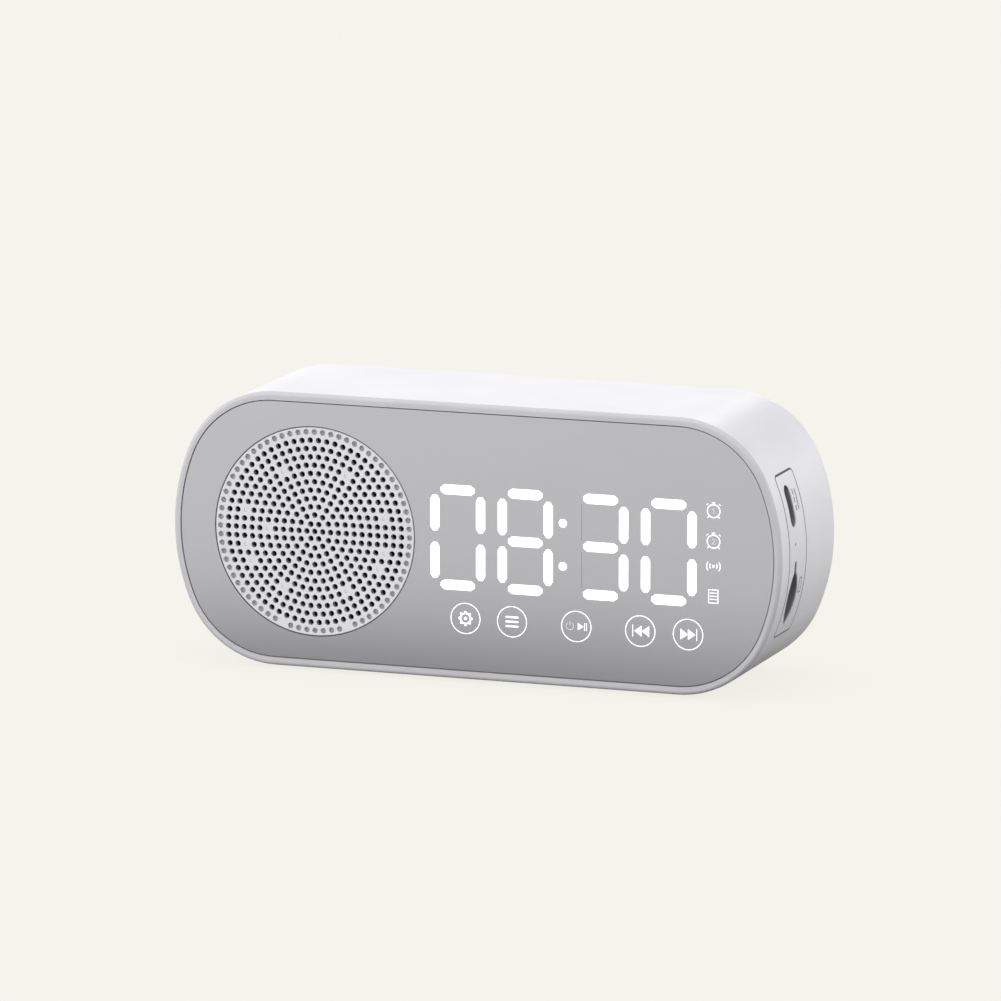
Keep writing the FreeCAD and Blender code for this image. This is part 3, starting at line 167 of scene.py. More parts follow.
def subtract(nodes, links, first, second):
    """Difference of two values, either of them a socket or a number."""
    node = nodes.new("ShaderNodeMath")
    node.operation = "SUBTRACT"
    for socket, value in zip(node.inputs, (first, second)):
        if isinstance(value, float):
            socket.default_value = value
        else:
            links.new(value, socket)
    return node.outputs[0]


def depth_below_end(nodes, links):
    """How far a point lies inside the case's curved right-hand end."""
    spot = nodes.new("ShaderNodeTexCoord").outputs["Object"]
    spot = vector_math(nodes, links, "SUBTRACT", spot, (END_CENTRE, 0, FACE_Z)).outputs["Vector"]
    spot = vector_math(nodes, links, "MULTIPLY", spot, (1, 0, 1)).outputs["Vector"]
    reach = vector_math(nodes, links, "LENGTH", spot, None).outputs["Value"]
    return subtract(nodes, links, END_RADIUS, reach)


def depth_below_grille(nodes, links):
    """How far a point lies behind the grille's front."""
    parts = nodes.new("ShaderNodeSeparateXYZ")
    links.new(nodes.new("ShaderNodeTexCoord").outputs["Object"], parts.inputs[0])
    return subtract(nodes, links, parts.outputs["Y"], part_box("speaker_grille")[0][1])


def lit(name, tint, strength):
    """Evenly lit plastic with the faint unevenness of a diffuser."""
    material, nodes, links, shader = new_material(name)
    coordinates = nodes.new("ShaderNodeTexCoord")
    slow = add_noise(nodes, links, coordinates, GLOW_SCALE, 1.0)
    level = nodes.new("ShaderNodeMapRange")
    level.inputs["To Min"].default_value = strength * (1 - GLOW_SPREAD)
    level.inputs["To Max"].default_value = strength * (1 + GLOW_SPREAD)
    links.new(slow.outputs["Fac"], level.inputs["Value"])
    links.new(level.outputs["Result"], shader.inputs["Emission Strength"])
    shader.inputs["Base Color"].default_value = tint
    shader.inputs["Emission Color"].default_value = tint
    shader.inputs["Roughness"].default_value = 0.5
    return material


WHITE_PLASTIC = surface("white_plastic", colour(248, 247, 253), 0.34, grain=0.06, grain_scale=2500)
SILVER_PLASTIC = surface("silver_plastic", colour(219, 218, 222), 0.42, grain=0.08, grain_scale=3000)
GRILLE_PLASTIC = surface("grille_plastic", colour(250, 249, 252), 0.55, grain=0.12, grain_scale=3000)
PANEL_PLASTIC = surface("panel_plastic", colour(247, 246, 250), 0.4, grain=0.08, grain_scale=2500)
MIRROR = surface(
    "half_mirror", colour(197, 197, 205), 0.2, metallic=1.0, mottle=0.004, grain=0.02, grain_scale=900,
    stretch=(0.12, 1, 1),
)
BLACK_PLASTIC = surface("black_plastic", colour(38, 38, 40), 0.5)
STEEL = surface("plated_steel", colour(176, 176, 174), 0.32, metallic=1.0, grain=0.05, stretch=(1, 1, 8))
MAGNET = surface("dark_magnet", colour(60, 60, 62), 0.5, metallic=0.6)
COPPER = surface("enamelled_copper", colour(186, 108, 62), 0.3, metallic=1.0, stretch=(1, 30, 1))
PAPER = surface("pressed_paper", colour(40, 40, 42), 0.85, mottle=0.15, grain=0.4, grain_scale=1500)
RUBBER = surface("soft_rubber", colour(52, 52, 54), 0.75, grain=0.25, grain_scale=1800)
CLOTH = surface("woven_dust_cloth", colour(26, 26, 28), 0.95, mottle=0.2, grain=0.9, grain_scale=1200)
LAMINATE = surface("green_laminate", colour(28, 92, 58), 0.38, mottle=0.08, grain_scale=1500, coat=0.2)
FOAM = surface("grey_foam", colour(84, 84, 88), 0.9, mottle=0.15, grain=0.6, grain_scale=900)
TAPE = surface("black_tape", colour(34, 34, 36), 0.7, grain_scale=1500)
FILM = surface("milky_film", colour(236, 236, 234), 0.45)
CHIP = surface("light_chip", colour(242, 238, 200), 0.35, coat=0.5)
ALUMINIUM = surface("drawn_can", colour(200, 200, 204), 0.28, metallic=1.0, stretch=(1, 20, 1))
IVORY = surface("ivory_nylon", colour(232, 224, 200), 0.5)
SLEEVE = surface("cell_sleeve", colour(70, 120, 168), 0.3, coat=0.4)
LEAD = surface("lead_sleeve", colour(150, 44, 40), 0.45, stretch=(1, 1, 12))
PRINT = surface("grey_print", colour(112, 112, 116), 0.6, mottle=0.06)
# painted shade of the gaps round the mirror, the grille and the end panel
GAP_SHADE = surface("painted_gap_shade", colour(98, 98, 102), 0.7, mottle=0.1)
UNLIT = surface("unlit_edge", colour(150, 150, 153), 0.5, mottle=0.05)
# painted shade on one side of each closed perforation
HOLE_SHADE = surface("painted_hole_shade", colour(196, 195, 199), 0.6, mottle=0.06)
SEGMENT_LIGHT = lit("segment_light", colour(255, 255, 255), 1.0)
SYMBOL_LIGHT = lit("symbol_light", colour(246, 246, 248), 0.9)
FAINT_LIGHT = lit("faint_symbol_light", colour(214, 214, 218), 0.45)

# painted shade: the end panel darker in its port and card scoop, the grille darker deep in its holes
paint_recess_shade(PANEL_PLASTIC, depth_below_end, 0.06, 0.4, colour(136, 136, 140))
paint_recess_shade(GRILLE_PLASTIC, depth_below_grille, 0.3, 0.6, colour(210, 210, 214))

NODE_MATERIALS = {
    WHITE_PLASTIC: ("body_shell", "display_reflector"),
    SILVER_PLASTIC: ("front_frame",),
    MIRROR: ("mirror_panel",),
    PANEL_PLASTIC: ("port_panel",),
    GRILLE_PLASTIC: ("speaker_grille",),
    CLOTH: ("dust_cloth",),
    BLACK_PLASTIC: ("control_chips", "charging_tongue", "card_socket_base"),
    STEEL: (
        "speaker_basket", "speaker_top_plate", "speaker_yoke", "frame_screws", "board_screws",
        "charging_socket", "card_socket_cover", "card_spring",
    ),
    MAGNET: ("speaker_magnet",),
    COPPER: ("voice_coil",),
    PAPER: ("speaker_cone", "speaker_dust_cap"),
    RUBBER: ("speaker_surround", "microphone_boot", "foot_front", "foot_rear"),
    LAMINATE: ("main_board", "speaker_terminals"),
    FOAM: ("touch_pads", "cell_pad"),
    TAPE: ("mirror_tape",),
    FILM: ("display_diffuser",),
    CHIP: ("light_chips",),
    ALUMINIUM: ("board_capacitor", "microphone"),
    IVORY: ("speaker_plug", "cell_plug", "card_slider"),
    SLEEVE: ("battery_cell",),
    LEAD: ("speaker_lead", "cell_lead"),
}

for material, names in NODE_MATERIALS.items():
    for name in names:
        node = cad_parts[name]
        node.data.materials.clear()
        node.data.materials.append(material)


# Flat shapes on the face and on the end panel

# how far they stand proud, in millimetres: signs, faint marks (unlit edges and painted shade crescents) and
# printed signs
SIGN_OUT, MARK_OUT, PRINT_OUT = 0.03, 0.012, 0.02


def on_face(across, up, out):
    """Point on the mirror, in millimetres from its middle, out towards the viewer."""
    return Vector((across * MM, FACE_Y - out * MM, FACE_Z + up * MM))


def on_end(depth, up, out):
    """Point on the curved right-hand end, its depth counted from the case's front."""
    height = up * MM
    reach = END_CENTRE + math.sqrt(END_RADIUS ** 2 - height ** 2) + out * MM
    return Vector((min(reach, cad_box[1][0]), CASE_FRONT + depth * MM, FACE_Z + height))


class Drawing:
    """Flat shapes a little proud of a surface, gathered into one mesh."""

    def __init__(self, spot, out=SIGN_OUT):
        self.mesh = bmesh.new()
        self.spot = spot
        self.out = out

    def plate(self, outline):
        """Solid plate inside a closed outline that runs anticlockwise."""
        back = [self.mesh.verts.new(self.spot(u, v, 0)) for u, v in outline]
        front = [self.mesh.verts.new(self.spot(u, v, self.out)) for u, v in outline]
        self.mesh.faces.new(front)
        for i in range(len(outline)):
            self.mesh.faces.new((back[i - 1], back[i], front[i], front[i - 1]))

    def band(self, outer, inner, closed):
        """Stroke between two lines of as many points each."""
        lines = [[self.mesh.verts.new(self.spot(u, v, self.out)) for u, v in line] for line in (outer, inner)]
        for i in range(0 if closed else 1, len(outer)):
            self.mesh.faces.new((lines[0][i - 1], lines[0][i], lines[1][i], lines[1][i - 1]))

    def arc(self, centre, radius, width, start=0.0, end=360.0, steps=48):
        """Stroke along a circle or a part of one, its angles in degrees."""
        closed = end - start >= 360
        count = steps if closed else steps + 1
        angles = [math.radians(start + (end - start) * i / steps) for i in range(count)]
        lines = []
        for r in (radius, radius - width):
            lines.append([(centre[0] + r * math.cos(a), centre[1] + r * math.sin(a)) for a in angles])
        self.band(*lines, closed)

    def disc(self, centre, radius, steps=24):
        angles = [math.tau * i / steps for i in range(steps)]
        self.plate([(centre[0] + radius * math.cos(a), centre[1] + radius * math.sin(a)) for a in angles])

    def stroke(self, start, end, width, steps=6):
        """Straight stroke with round ends."""
        a, b = Vector(start), Vector(end)
        angle = math.atan2(b.y - a.y, b.x - a.x)
        outline = []
        for point, first in ((b, angle - math.pi / 2), (a, angle + math.pi / 2)):
            for i in range(steps + 1):
                turn = first + math.pi * i / steps
                outline.append((point.x + width / 2 * math.cos(turn), point.y + width / 2 * math.sin(turn)))
        self.plate(outline)

    def finish(self, name, material):
        mesh = bpy.data.meshes.new(name)
        self.mesh.normal_update()
        self.mesh.to_mesh(mesh)
        self.mesh.free()
        piece = bpy.data.objects.new(name, mesh)
        bpy.context.scene.collection.objects.link(piece)
        mesh.materials.append(material)
        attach(piece, HOUSING)
        return piece


def rounded(points, radius, steps=4):
    """Closed outline with its corners rounded by a radius."""
    outline = []
    count = len(points)
    for i in range(count):
        before, corner, after = (Vector(points[(i + k) % count]) for k in (-1, 0, 1))
        into, out = (corner - before).normalized(), (after - corner).normalized()
        trim = radius * math.tan(into.angle(out) / 2)
        start, end = corner - into * trim, corner + out * trim
        for k in range(steps + 1):
            t = k / steps
            outline.append((1 - t) ** 2 * start + 2 * t * (1 - t) * corner + t ** 2 * end)
    return outline


# Digits

DIGIT_FIRST, DIGIT_PITCH, COLON_SPACE = -3.9, 16.1, 1.75
DIGIT_MIDDLE = 0.9
POST_SIDE, POST_RISE, POST_LENGTH, POST_WIDTH = 5.46, 5.43, 8.3, 2.2
BAR_RISE, BAR_LENGTH, BAR_WIDTH = 10.9, 8.2, 2.3
SEGMENT_TIP, SEGMENT_TAPER, SEGMENT_ROUND = 0.9, 0.95, 0.3
COLON_RISE, COLON_RADIUS = 4.9, 0.98
UNLIT_WIDTH = 0.12

# which segments are lit: upper, middle and lower bar, then the left and the right posts, upper first
LIT = {
    "0": (1, 0, 1, 1, 1, 1, 1),
    "3": (1, 1, 1, 0, 0, 1, 1),
    "8": (1, 1, 1, 1, 1, 1, 1),
}


def segment(x, z, length, width, lying):
    """Eight-cornered segment with blunt points and soft corners."""
    half, side, tip = length / 2, width / 2, SEGMENT_TIP / 2
    ring = [
        (half, -tip), (half, tip), (half - SEGMENT_TAPER, side), (SEGMENT_TAPER - half, side),
        (-half, tip), (-half, -tip), (SEGMENT_TAPER - half, -side), (half - SEGMENT_TAPER, -side),
    ]
    if not lying:
        ring = [(-b, a) for a, b in ring]
    return [(x + p.x, z + p.y) for p in rounded(ring, SEGMENT_ROUND)]


def digit_places(number):
    x = DIGIT_FIRST + number * DIGIT_PITCH + (COLON_SPACE if number > 1 else 0)
    places = [(x, DIGIT_MIDDLE + rise, BAR_LENGTH, BAR_WIDTH, True) for rise in (BAR_RISE, 0, -BAR_RISE)]
    for side in (-POST_SIDE, POST_SIDE):
        for rise in (POST_RISE, -POST_RISE):
            places.append((x + side, DIGIT_MIDDLE + rise, POST_LENGTH, POST_WIDTH, False))
    return places


def build_digits():
    for number, figure in enumerate("0830"):
        drawing = Drawing(on_face)
        for on, place in zip(LIT[figure], digit_places(number)):
            if on:
                drawing.plate(segment(*place))
        drawing.finish("digit_%d" % (number + 1), SEGMENT_LIGHT)
    drawing = Drawing(on_face)
    colon = DIGIT_FIRST + 1.5 * DIGIT_PITCH + COLON_SPACE / 2
    for rise in (COLON_RISE, -COLON_RISE):
        drawing.disc((colon, DIGIT_MIDDLE + rise), COLON_RADIUS)
    drawing.finish("colon_dots", SEGMENT_LIGHT)


def build_unlit_edges():
    """Faint outer edge of the third digit's two unlit posts."""
    drawing = Drawing(on_face, MARK_OUT)
    for x, z, length, width, lying in digit_places(2)[3:5]:
        edge = x + width / 2 - UNLIT_WIDTH
        drawing.stroke((edge, z - length / 2), (edge, z + length / 2), UNLIT_WIDTH)
    drawing.finish("unlit_post_edges", UNLIT)


build_digits()
build_unlit_edges()


# Status signs at the right of the digits

SIGN_X = 56.65
ALARM_PLACES = (10.9, 4.0)
SIGN_RADIUS, SIGN_STROKE = 1.6, 0.25
WAVE_Z = -1.6
LIST_Z, LIST_WIDTH, LIST_HEIGHT, LIST_STROKE = -8.45, 2.4, 3.2, 0.2

# alarm sign, each place counted from its middle
KNOB_REACH, KNOB_RISE, KNOB_WIDTH = 0.32, 1.9, 0.2
STEM_RISE, STEM_WIDTH = 1.5, 0.24
BELL_TOP, BELL_FOOT, BELL_WIDTH = (1.3, 1.62), (1.62, 1.34), 0.16
LEG_TOP, LEG_FOOT, LEG_WIDTH = (1.05, -1.15), (1.38, -1.48), 0.22

# figures 1 and 2, each place counted from their sign's middle
ONE_X, ONE_RISE, ONE_WIDTH = 0.05, 0.6, 0.16
ONE_FLAG = (-0.25, 0.36)
BOW_RISE, BOW_RADIUS, BOW_WIDTH, BOW_START, BOW_END = 0.28, 0.38, 0.15, -30, 170
SLOPE_TOP, SLOPE_FOOT = (0.26, 0.1), (-0.32, -0.55)
BASE_LEFT, BASE_RIGHT, BASE_DROP = -0.32, 0.36, 0.56
FIGURE_WIDTH = 0.14

# radio waves round a dot, and the list's lines
WAVE_DOT, WAVE_RADII, WAVE_WIDTH, WAVE_SPREAD = 0.3, (0.98, 1.7), 0.22, 38
LINE_RISES, LINE_REACH, LINE_WIDTH = (0.78, 0.06, -0.66), 0.78, 0.17
SMALL_ARC_STEPS = 16


def alarm_sign(drawing, z):
    """Alarm clock: a ring with a knob on top, two bells and two feet."""
    knob = z + KNOB_RISE
    drawing.arc((SIGN_X, z), SIGN_RADIUS, SIGN_STROKE)
    drawing.stroke((SIGN_X - KNOB_REACH, knob), (SIGN_X + KNOB_REACH, knob), KNOB_WIDTH)
    drawing.stroke((SIGN_X, z + STEM_RISE), (SIGN_X, knob), STEM_WIDTH)
    for side in (-1, 1):
        for top, foot, width in ((BELL_TOP, BELL_FOOT, BELL_WIDTH), (LEG_TOP, LEG_FOOT, LEG_WIDTH)):
            start, end = ((SIGN_X + side * u, z + v) for u, v in (top, foot))
            drawing.stroke(start, end, width)


def alarm_figures(drawing):
    """Faint 1 and 2 inside the alarm signs."""
    one, two = ALARM_PLACES
    top = (SIGN_X + ONE_X, one + ONE_RISE)
    drawing.stroke((SIGN_X + ONE_X, one - ONE_RISE), top, ONE_WIDTH)
    drawing.stroke(top, (SIGN_X + ONE_FLAG[0], one + ONE_FLAG[1]), FIGURE_WIDTH)
    bow = (SIGN_X, two + BOW_RISE)
    drawing.arc(bow, BOW_RADIUS, BOW_WIDTH, BOW_START, BOW_END, SMALL_ARC_STEPS)
    slope = [(SIGN_X + u, two + v) for u, v in (SLOPE_TOP, SLOPE_FOOT)]
    drawing.stroke(*slope, FIGURE_WIDTH)
    base = two - BASE_DROP
    drawing.stroke((SIGN_X + BASE_LEFT, base), (SIGN_X + BASE_RIGHT, base), FIGURE_WIDTH)


def wave_sign(drawing):
    """Two pairs of arcs round a dot."""
    drawing.disc((SIGN_X, WAVE_Z), WAVE_DOT)
    for radius in WAVE_RADII:
        for middle in (0, 180):
            ends = (middle - WAVE_SPREAD, middle + WAVE_SPREAD)
            drawing.arc((SIGN_X, WAVE_Z), radius, WAVE_WIDTH, *ends, SMALL_ARC_STEPS)


def list_sign(drawing):
    """Upright frame with three lines in it."""
    half, tall = LIST_WIDTH / 2, LIST_HEIGHT / 2
    corners = [(-half, -tall), (half, -tall), (half, tall), (-half, tall)]
    lines = []
    for inset in (0, LIST_STROKE):
        scale_x, scale_z = (half - inset) / half, (tall - inset) / tall
        lines.append([(SIGN_X + x * scale_x, LIST_Z + z * scale_z) for x, z in corners])
    drawing.band(*lines, True)
    for rise in LINE_RISES:
        z = LIST_Z + rise
        drawing.stroke((SIGN_X - LINE_REACH, z), (SIGN_X + LINE_REACH, z), LINE_WIDTH)


def build_signs():
    drawing = Drawing(on_face)
    for z in ALARM_PLACES:
        alarm_sign(drawing, z)
    wave_sign(drawing)
    list_sign(drawing)
    drawing.finish("status_signs", SYMBOL_LIGHT)
    figures = Drawing(on_face)
    alarm_figures(figures)
    figures.finish("alarm_figures", FAINT_LIGHT)


build_signs()


# Touch keys: a thin ring each, with its symbol

KEY_Z, KEY_RADIUS, KEY_STROKE = -17.5, 3.58, 0.2
KEY_PLACES = {"settings": -2.06, "menu": 9.05, "play": 24.35, "back": 39.5, "next": 50.75}

# symbols, each place counted from their key's middle
GEAR_TEETH, GEAR_TIP, GEAR_ROOT, GEAR_HUB, GEAR_DOT = 8, 1.75, 1.35, 1.0, 0.4
MENU_RISES, MENU_REACH, MENU_WIDTH = (1.05, 0, -1.05), 1.35, 0.44
POWER_X, POWER_RADIUS, POWER_WIDTH, POWER_START, POWER_END = -1.5, 0.95, 0.17, 120, 420
POWER_LOW, POWER_TOP = 0.2, 1.05
PLAY_LEFT, PLAY_TIP, PLAY_RISE = 0.36, 1.7, 0.82
PAUSE_PLACES, PAUSE_WIDTH = (1.95, 2.42), 0.18
ARROW_LENGTH, ARROW_RISE = 1.76, 1.25
SKIP_RISE, SKIP_WIDTH = 1.3, 0.18
BACK_START, BACK_BAR = -2.1, 1.79
NEXT_START, NEXT_BAR = -1.8, 2.05


def settings_symbol(drawing, x):
    """Gear: a toothed outline round a ring."""
    outline, hub = [], []
    count = GEAR_TEETH * 4
    for i in range(count):
        angle = math.tau * (i - 0.5) / count
        radius = GEAR_TIP if i % 4 < 2 else GEAR_ROOT
        outline.append((x + radius * math.cos(angle), KEY_Z + radius * math.sin(angle)))
        hub.append((x + GEAR_HUB * math.cos(angle), KEY_Z + GEAR_HUB * math.sin(angle)))
    drawing.band(outline, hub, True)
    drawing.disc((x, KEY_Z), GEAR_DOT)


def menu_symbol(drawing, x):
    """Three bars."""
    for rise in MENU_RISES:
        drawing.stroke((x - MENU_REACH, KEY_Z + rise), (x + MENU_REACH, KEY_Z + rise), MENU_WIDTH)


def power_symbol(drawing, x):
    """Fainter sign beside the play symbol."""
    middle = x + POWER_X
    drawing.arc((middle, KEY_Z), POWER_RADIUS, POWER_WIDTH, POWER_START, POWER_END, 32)
    drawing.stroke((middle, KEY_Z + POWER_LOW), (middle, KEY_Z + POWER_TOP), POWER_WIDTH)


def play_symbol(drawing, x):
    """Play and pause."""
    low, high = KEY_Z - PLAY_RISE, KEY_Z + PLAY_RISE
    drawing.plate([(x + PLAY_LEFT, low), (x + PLAY_TIP, KEY_Z), (x + PLAY_LEFT, high)])
    for side in PAUSE_PLACES:
        drawing.stroke((x + side, low), (x + side, high), PAUSE_WIDTH)


def skip_symbol(drawing, x, side, first, bar):
    """Two filled arrowheads and a bar, towards one side."""
    for start in (first, first + ARROW_LENGTH):
        points = [(start, -ARROW_RISE), (start + ARROW_LENGTH, 0), (start, ARROW_RISE)]
        ring = [(x + side * u, KEY_Z + v) for u, v in points]
        drawing.plate(ring if side > 0 else ring[::-1])
    end = x + side * bar
    drawing.stroke((end, KEY_Z - SKIP_RISE), (end, KEY_Z + SKIP_RISE), SKIP_WIDTH)


KEY_SYMBOLS = {
    "settings": settings_symbol,
    "menu": menu_symbol,
    "play": play_symbol,
    "back": lambda drawing, x: skip_symbol(drawing, x, -1, BACK_START, BACK_BAR),
    "next": lambda drawing, x: skip_symbol(drawing, x, 1, NEXT_START, NEXT_BAR),
}

for key, place in KEY_PLACES.items():
    drawing = Drawing(on_face)
    drawing.arc((place, KEY_Z), KEY_RADIUS, KEY_STROKE, steps=72)
    KEY_SYMBOLS[key](drawing, place)
    drawing.finish("key_" + key, SYMBOL_LIGHT)

drawing = Drawing(on_face)
power_symbol(drawing, KEY_PLACES["play"])
drawing.finish("power_sign", FAINT_LIGHT)


# Signs printed on the end panel: direct current beside the port, a card beside its slot

END_SIGN_STROKE = 0.42
CURRENT_DEPTH, CURRENT_GAP, CURRENT_Z, CURRENT_LENGTH = 14.3, 1.5, 11.9, 4.6
DASH_PITCH, DASH_LENGTH = 1.8, 0.9
CARD_DEPTH, CARD_Z, CARD_WIDTH, CARD_HEIGHT, CARD_CUT = 15.7, -7.6, 1.8, 3.6, 0.6
CARD_INSIDE = (0.72, 0.88)
CURRENT_PARTS = 8


def divided(points, parts=6):
    """Closed line with points added on each run, so that it follows a curved surface."""
    line = []
    for start, end in zip(points, points[1:] + points[:1]):
        line += [Vector(start).lerp(Vector(end), i / parts) for i in range(parts)]
    return line


def build_end_signs():
    drawing = Drawing(on_end, PRINT_OUT)
    solid = CURRENT_DEPTH + CURRENT_GAP
    heights = [CURRENT_Z + CURRENT_LENGTH * (i / CURRENT_PARTS - 0.5) for i in range(CURRENT_PARTS + 1)]
    edges = [[(solid + side * END_SIGN_STROKE / 2, z) for z in heights] for side in (1, -1)]
    drawing.band(*edges, False)
    for step in (-1, 0, 1):
        low = CURRENT_Z + step * DASH_PITCH - DASH_LENGTH / 2
        drawing.stroke((CURRENT_DEPTH, low), (CURRENT_DEPTH, low + DASH_LENGTH), END_SIGN_STROKE)
    half, tall = CARD_WIDTH / 2, CARD_HEIGHT / 2
    outer = [(-half, -tall), (half, -tall), (half, tall - CARD_CUT), (half - CARD_CUT, tall), (-half, tall)]
    lines = []
    for across, up in ((1, 1), CARD_INSIDE):
        lines.append(divided([(CARD_DEPTH + u * across, CARD_Z + v * up) for u, v in outer]))
    drawing.band(*lines, True)
    drawing.finish("end_panel_signs", PRINT)


build_end_signs()


# Painted gap shade: dark bands round the mirror, round the grille's opening in it, and round the end panel,
# where the narrow gaps lie in shade

MIRROR_HALF_LENGTH, MIRROR_HALF_HEIGHT = 70.8, 29.53
MIRROR_END_RADIUS, MIRROR_CORNER_RADIUS = 44.4, 20.9
SEAM_WIDTH, SEAM_OUT = 0.13, 0.01
PANEL_DEPTH, PANEL_WIDTH, PANEL_HEIGHT, PANEL_CORNER = 12.4, 12.2, 36.8, 1.2
PANEL_SEAM = 0.36
PANEL_SIDE_PARTS = 24


def arc_points(centre, radius, start, end, steps):
    """Points of an arc between two angles in degrees."""
    angles = [math.radians(start + (end - start) * i / steps) for i in range(steps + 1)]
    return [(centre[0] + radius * math.cos(a), centre[1] + radius * math.sin(a)) for a in angles]


def mirror_line(inset):
    """Outline of the mirror, set in: a wide arc at each end, tighter ones at the corners."""
    end, corner = MIRROR_END_RADIUS, MIRROR_CORNER_RADIUS
    end_x, corner_z = MIRROR_HALF_LENGTH - end, MIRROR_HALF_HEIGHT - corner
    corner_x = end_x + math.sqrt((end - corner) ** 2 - corner_z ** 2)
    meet = math.degrees(math.atan2(corner_z, corner_x - end_x))
    quarter = arc_points((end_x, 0), end - inset, 0, meet, 16)
    quarter += arc_points((corner_x, corner_z), corner - inset, meet, 90, 24)[1:]
    upper = quarter + [(-u, v) for u, v in reversed(quarter)]
    return upper + [(u, -v) for u, v in reversed(upper)][1:-1]


def panel_line(inset):
    """Outline of the end panel as (depth, height), set in, with points up its long sides."""
    half_width, half_height, corner = PANEL_WIDTH / 2 - inset, PANEL_HEIGHT / 2 - inset, PANEL_CORNER - inset
    line = []
    for turn, side_u, side_v in ((0, 1, 1), (90, -1, 1), (180, -1, -1), (270, 1, -1)):
        centre = (PANEL_DEPTH + side_u * (half_width - corner), side_v * (half_height - corner))
        line += arc_points(centre, corner, turn, turn + 90, 6)
        if turn in (90, 270):
            reach = half_height - corner
            side = PANEL_DEPTH - half_width if turn == 90 else PANEL_DEPTH + half_width
            way = -1 if turn == 90 else 1
            count = PANEL_SIDE_PARTS
            line += [(side, way * reach * (2 * i / count - 1)) for i in range(1, count)]
    return line


def build_gap_shades():
    drawing = Drawing(on_face, SEAM_OUT)
    drawing.band(mirror_line(0), mirror_line(SEAM_WIDTH), True)
    drawing.finish("mirror_gap_shade", GAP_SHADE)
    drawing = Drawing(on_face, SEAM_OUT)
    drawing.arc((GRILLE_X, 0), GRILLE_RADIUS + GRILLE_FIT + SEAM_WIDTH, SEAM_WIDTH, steps=160)
    drawing.finish("grille_gap_shade", GAP_SHADE)
    drawing = Drawing(on_end, SEAM_OUT)
    drawing.band(panel_line(-PANEL_SEAM / 3), panel_line(PANEL_SEAM * 2 / 3), True)
    # painted shadow under the panel's upper edge: a wider band along its top
    top, reach = PANEL_HEIGHT / 2 - PANEL_SEAM / 2, PANEL_WIDTH / 2 - PANEL_CORNER
    drawing.stroke((PANEL_DEPTH - reach, top), (PANEL_DEPTH + reach, top), PANEL_SEAM)
    drawing.finish("panel_gap_shade", GAP_SHADE)


# Speaker grille: a moulded disc with round perforations, its outermost ring of holes blind

GRILLE_X = -38.33
GRILLE_RADIUS = 23.9
GRILLE_FIT = 0.15
HOLE_STEP, HOLE_RADIUS = 1.904, 0.67
WIDE_RADIUS = 0.84
OPEN_RINGS, BLIND_RING = 11, 12
HOLE_EDGE = 0.04
SKIN_DEPTH, BLIND_DEPTH = 0.32, 1.0
OUTLINE_STEPS, HOLE_STEPS = 32, 4
CLOSED_HOLES = {
    6: (180.0,),
    8: (60.0, 120.0, 240.0, 300.0),
    9: (40 / 3, 500 / 3, 580 / 3, 620 / 3, 1000 / 3, 1040 / 3),
    12: (250.0, 290.0),
}
grille_low, grille_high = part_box("speaker_grille")


def ring_places(ring):
    """Holes of one ring as (x, z, closed)."""
    if ring == 0:
        return [(0.0, 0.0, False)]
    places = []
    for number in range(6 * ring):
        degrees = number * 60 / ring
        closed = any(abs(degrees - mark) < 0.5 for mark in CLOSED_HOLES.get(ring, ()))
        angle = math.radians(degrees)
        places.append((ring * HOLE_STEP * math.cos(angle), ring * HOLE_STEP * math.sin(angle), closed))
    return places


def circle_spline(curve, x, z, radius, steps):
    spline = curve.splines.new("BEZIER")
    spline.resolution_u = steps
    spline.bezier_points.add(3)
    handle = radius * 4 / 3 * math.tan(math.pi / 8)
    for i, point in enumerate(spline.bezier_points):
        angle = math.tau * i / 4
        spot = Vector((x + radius * math.cos(angle), z + radius * math.sin(angle), 0))
        along = Vector((-math.sin(angle), math.cos(angle), 0)) * handle
        point.co = spot
        point.handle_left = spot - along
        point.handle_right = spot + along
    spline.use_cyclic_u = True


def holed_disc(name, radii, near, far, edge=0.0):
    """Disc between two depths, in metres from front to back; radii gives each ring's hole radius."""
    curve = bpy.data.curves.new(name, "CURVE")
    curve.dimensions = "2D"
    curve.fill_mode = "BOTH"
    thick = (far - near) / MM
    curve.extrude = thick / 2 - edge
    curve.bevel_depth = edge
    curve.bevel_resolution = 1
    circle_spline(curve, 0, 0, GRILLE_RADIUS - edge, OUTLINE_STEPS)
    for ring, radius in radii.items():
        for x, z, closed in ring_places(ring):
            if not closed:
                circle_spline(curve, x, z, radius + edge, HOLE_STEPS)
    holder = bpy.data.objects.new(name + "_outline", curve)
    mesh = bpy.data.meshes.new_from_object(holder)
    bpy.data.objects.remove(holder)
    middle = Vector((GRILLE_X * MM, (near + far) / 2, FACE_Z))
    mesh.transform(Matrix.Translation(middle) @ Matrix.Rotation(math.pi / 2, 4, "X") @ Matrix.Scale(MM, 4))
    return mesh


def build_grille():
    front, back = grille_low[1], grille_high[1]
    skin, floor = front + SKIN_DEPTH * MM, front + BLIND_DEPTH * MM
    narrow = {ring: HOLE_RADIUS for ring in range(BLIND_RING + 1)}
    wide = {ring: WIDE_RADIUS for ring in range(OPEN_RINGS + 1)}
    joined = bmesh.new()
    joined.from_mesh(holed_disc("grille_skin", narrow, front, skin, HOLE_EDGE))
    joined.from_mesh(holed_disc("grille_middle", {**wide, BLIND_RING: HOLE_RADIUS}, skin, floor))
    joined.from_mesh(holed_disc("grille_back", wide, floor, back))
    mesh = bpy.data.meshes.new("grille_disc")
    joined.to_mesh(mesh)
    joined.free()
    mesh.materials.append(GRILLE_PLASTIC)
    grille = bpy.data.objects.new("grille_disc", mesh)
    bpy.context.scene.collection.objects.link(grille)
    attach(grille, HOUSING)
    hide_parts("speaker_grille")


# painted shade crescents on one side of the closed perforations, their ends in degrees
MARK_RADIUS, MARK_WIDTH, MARK_START, MARK_END = 0.42, 0.14, 110, 300


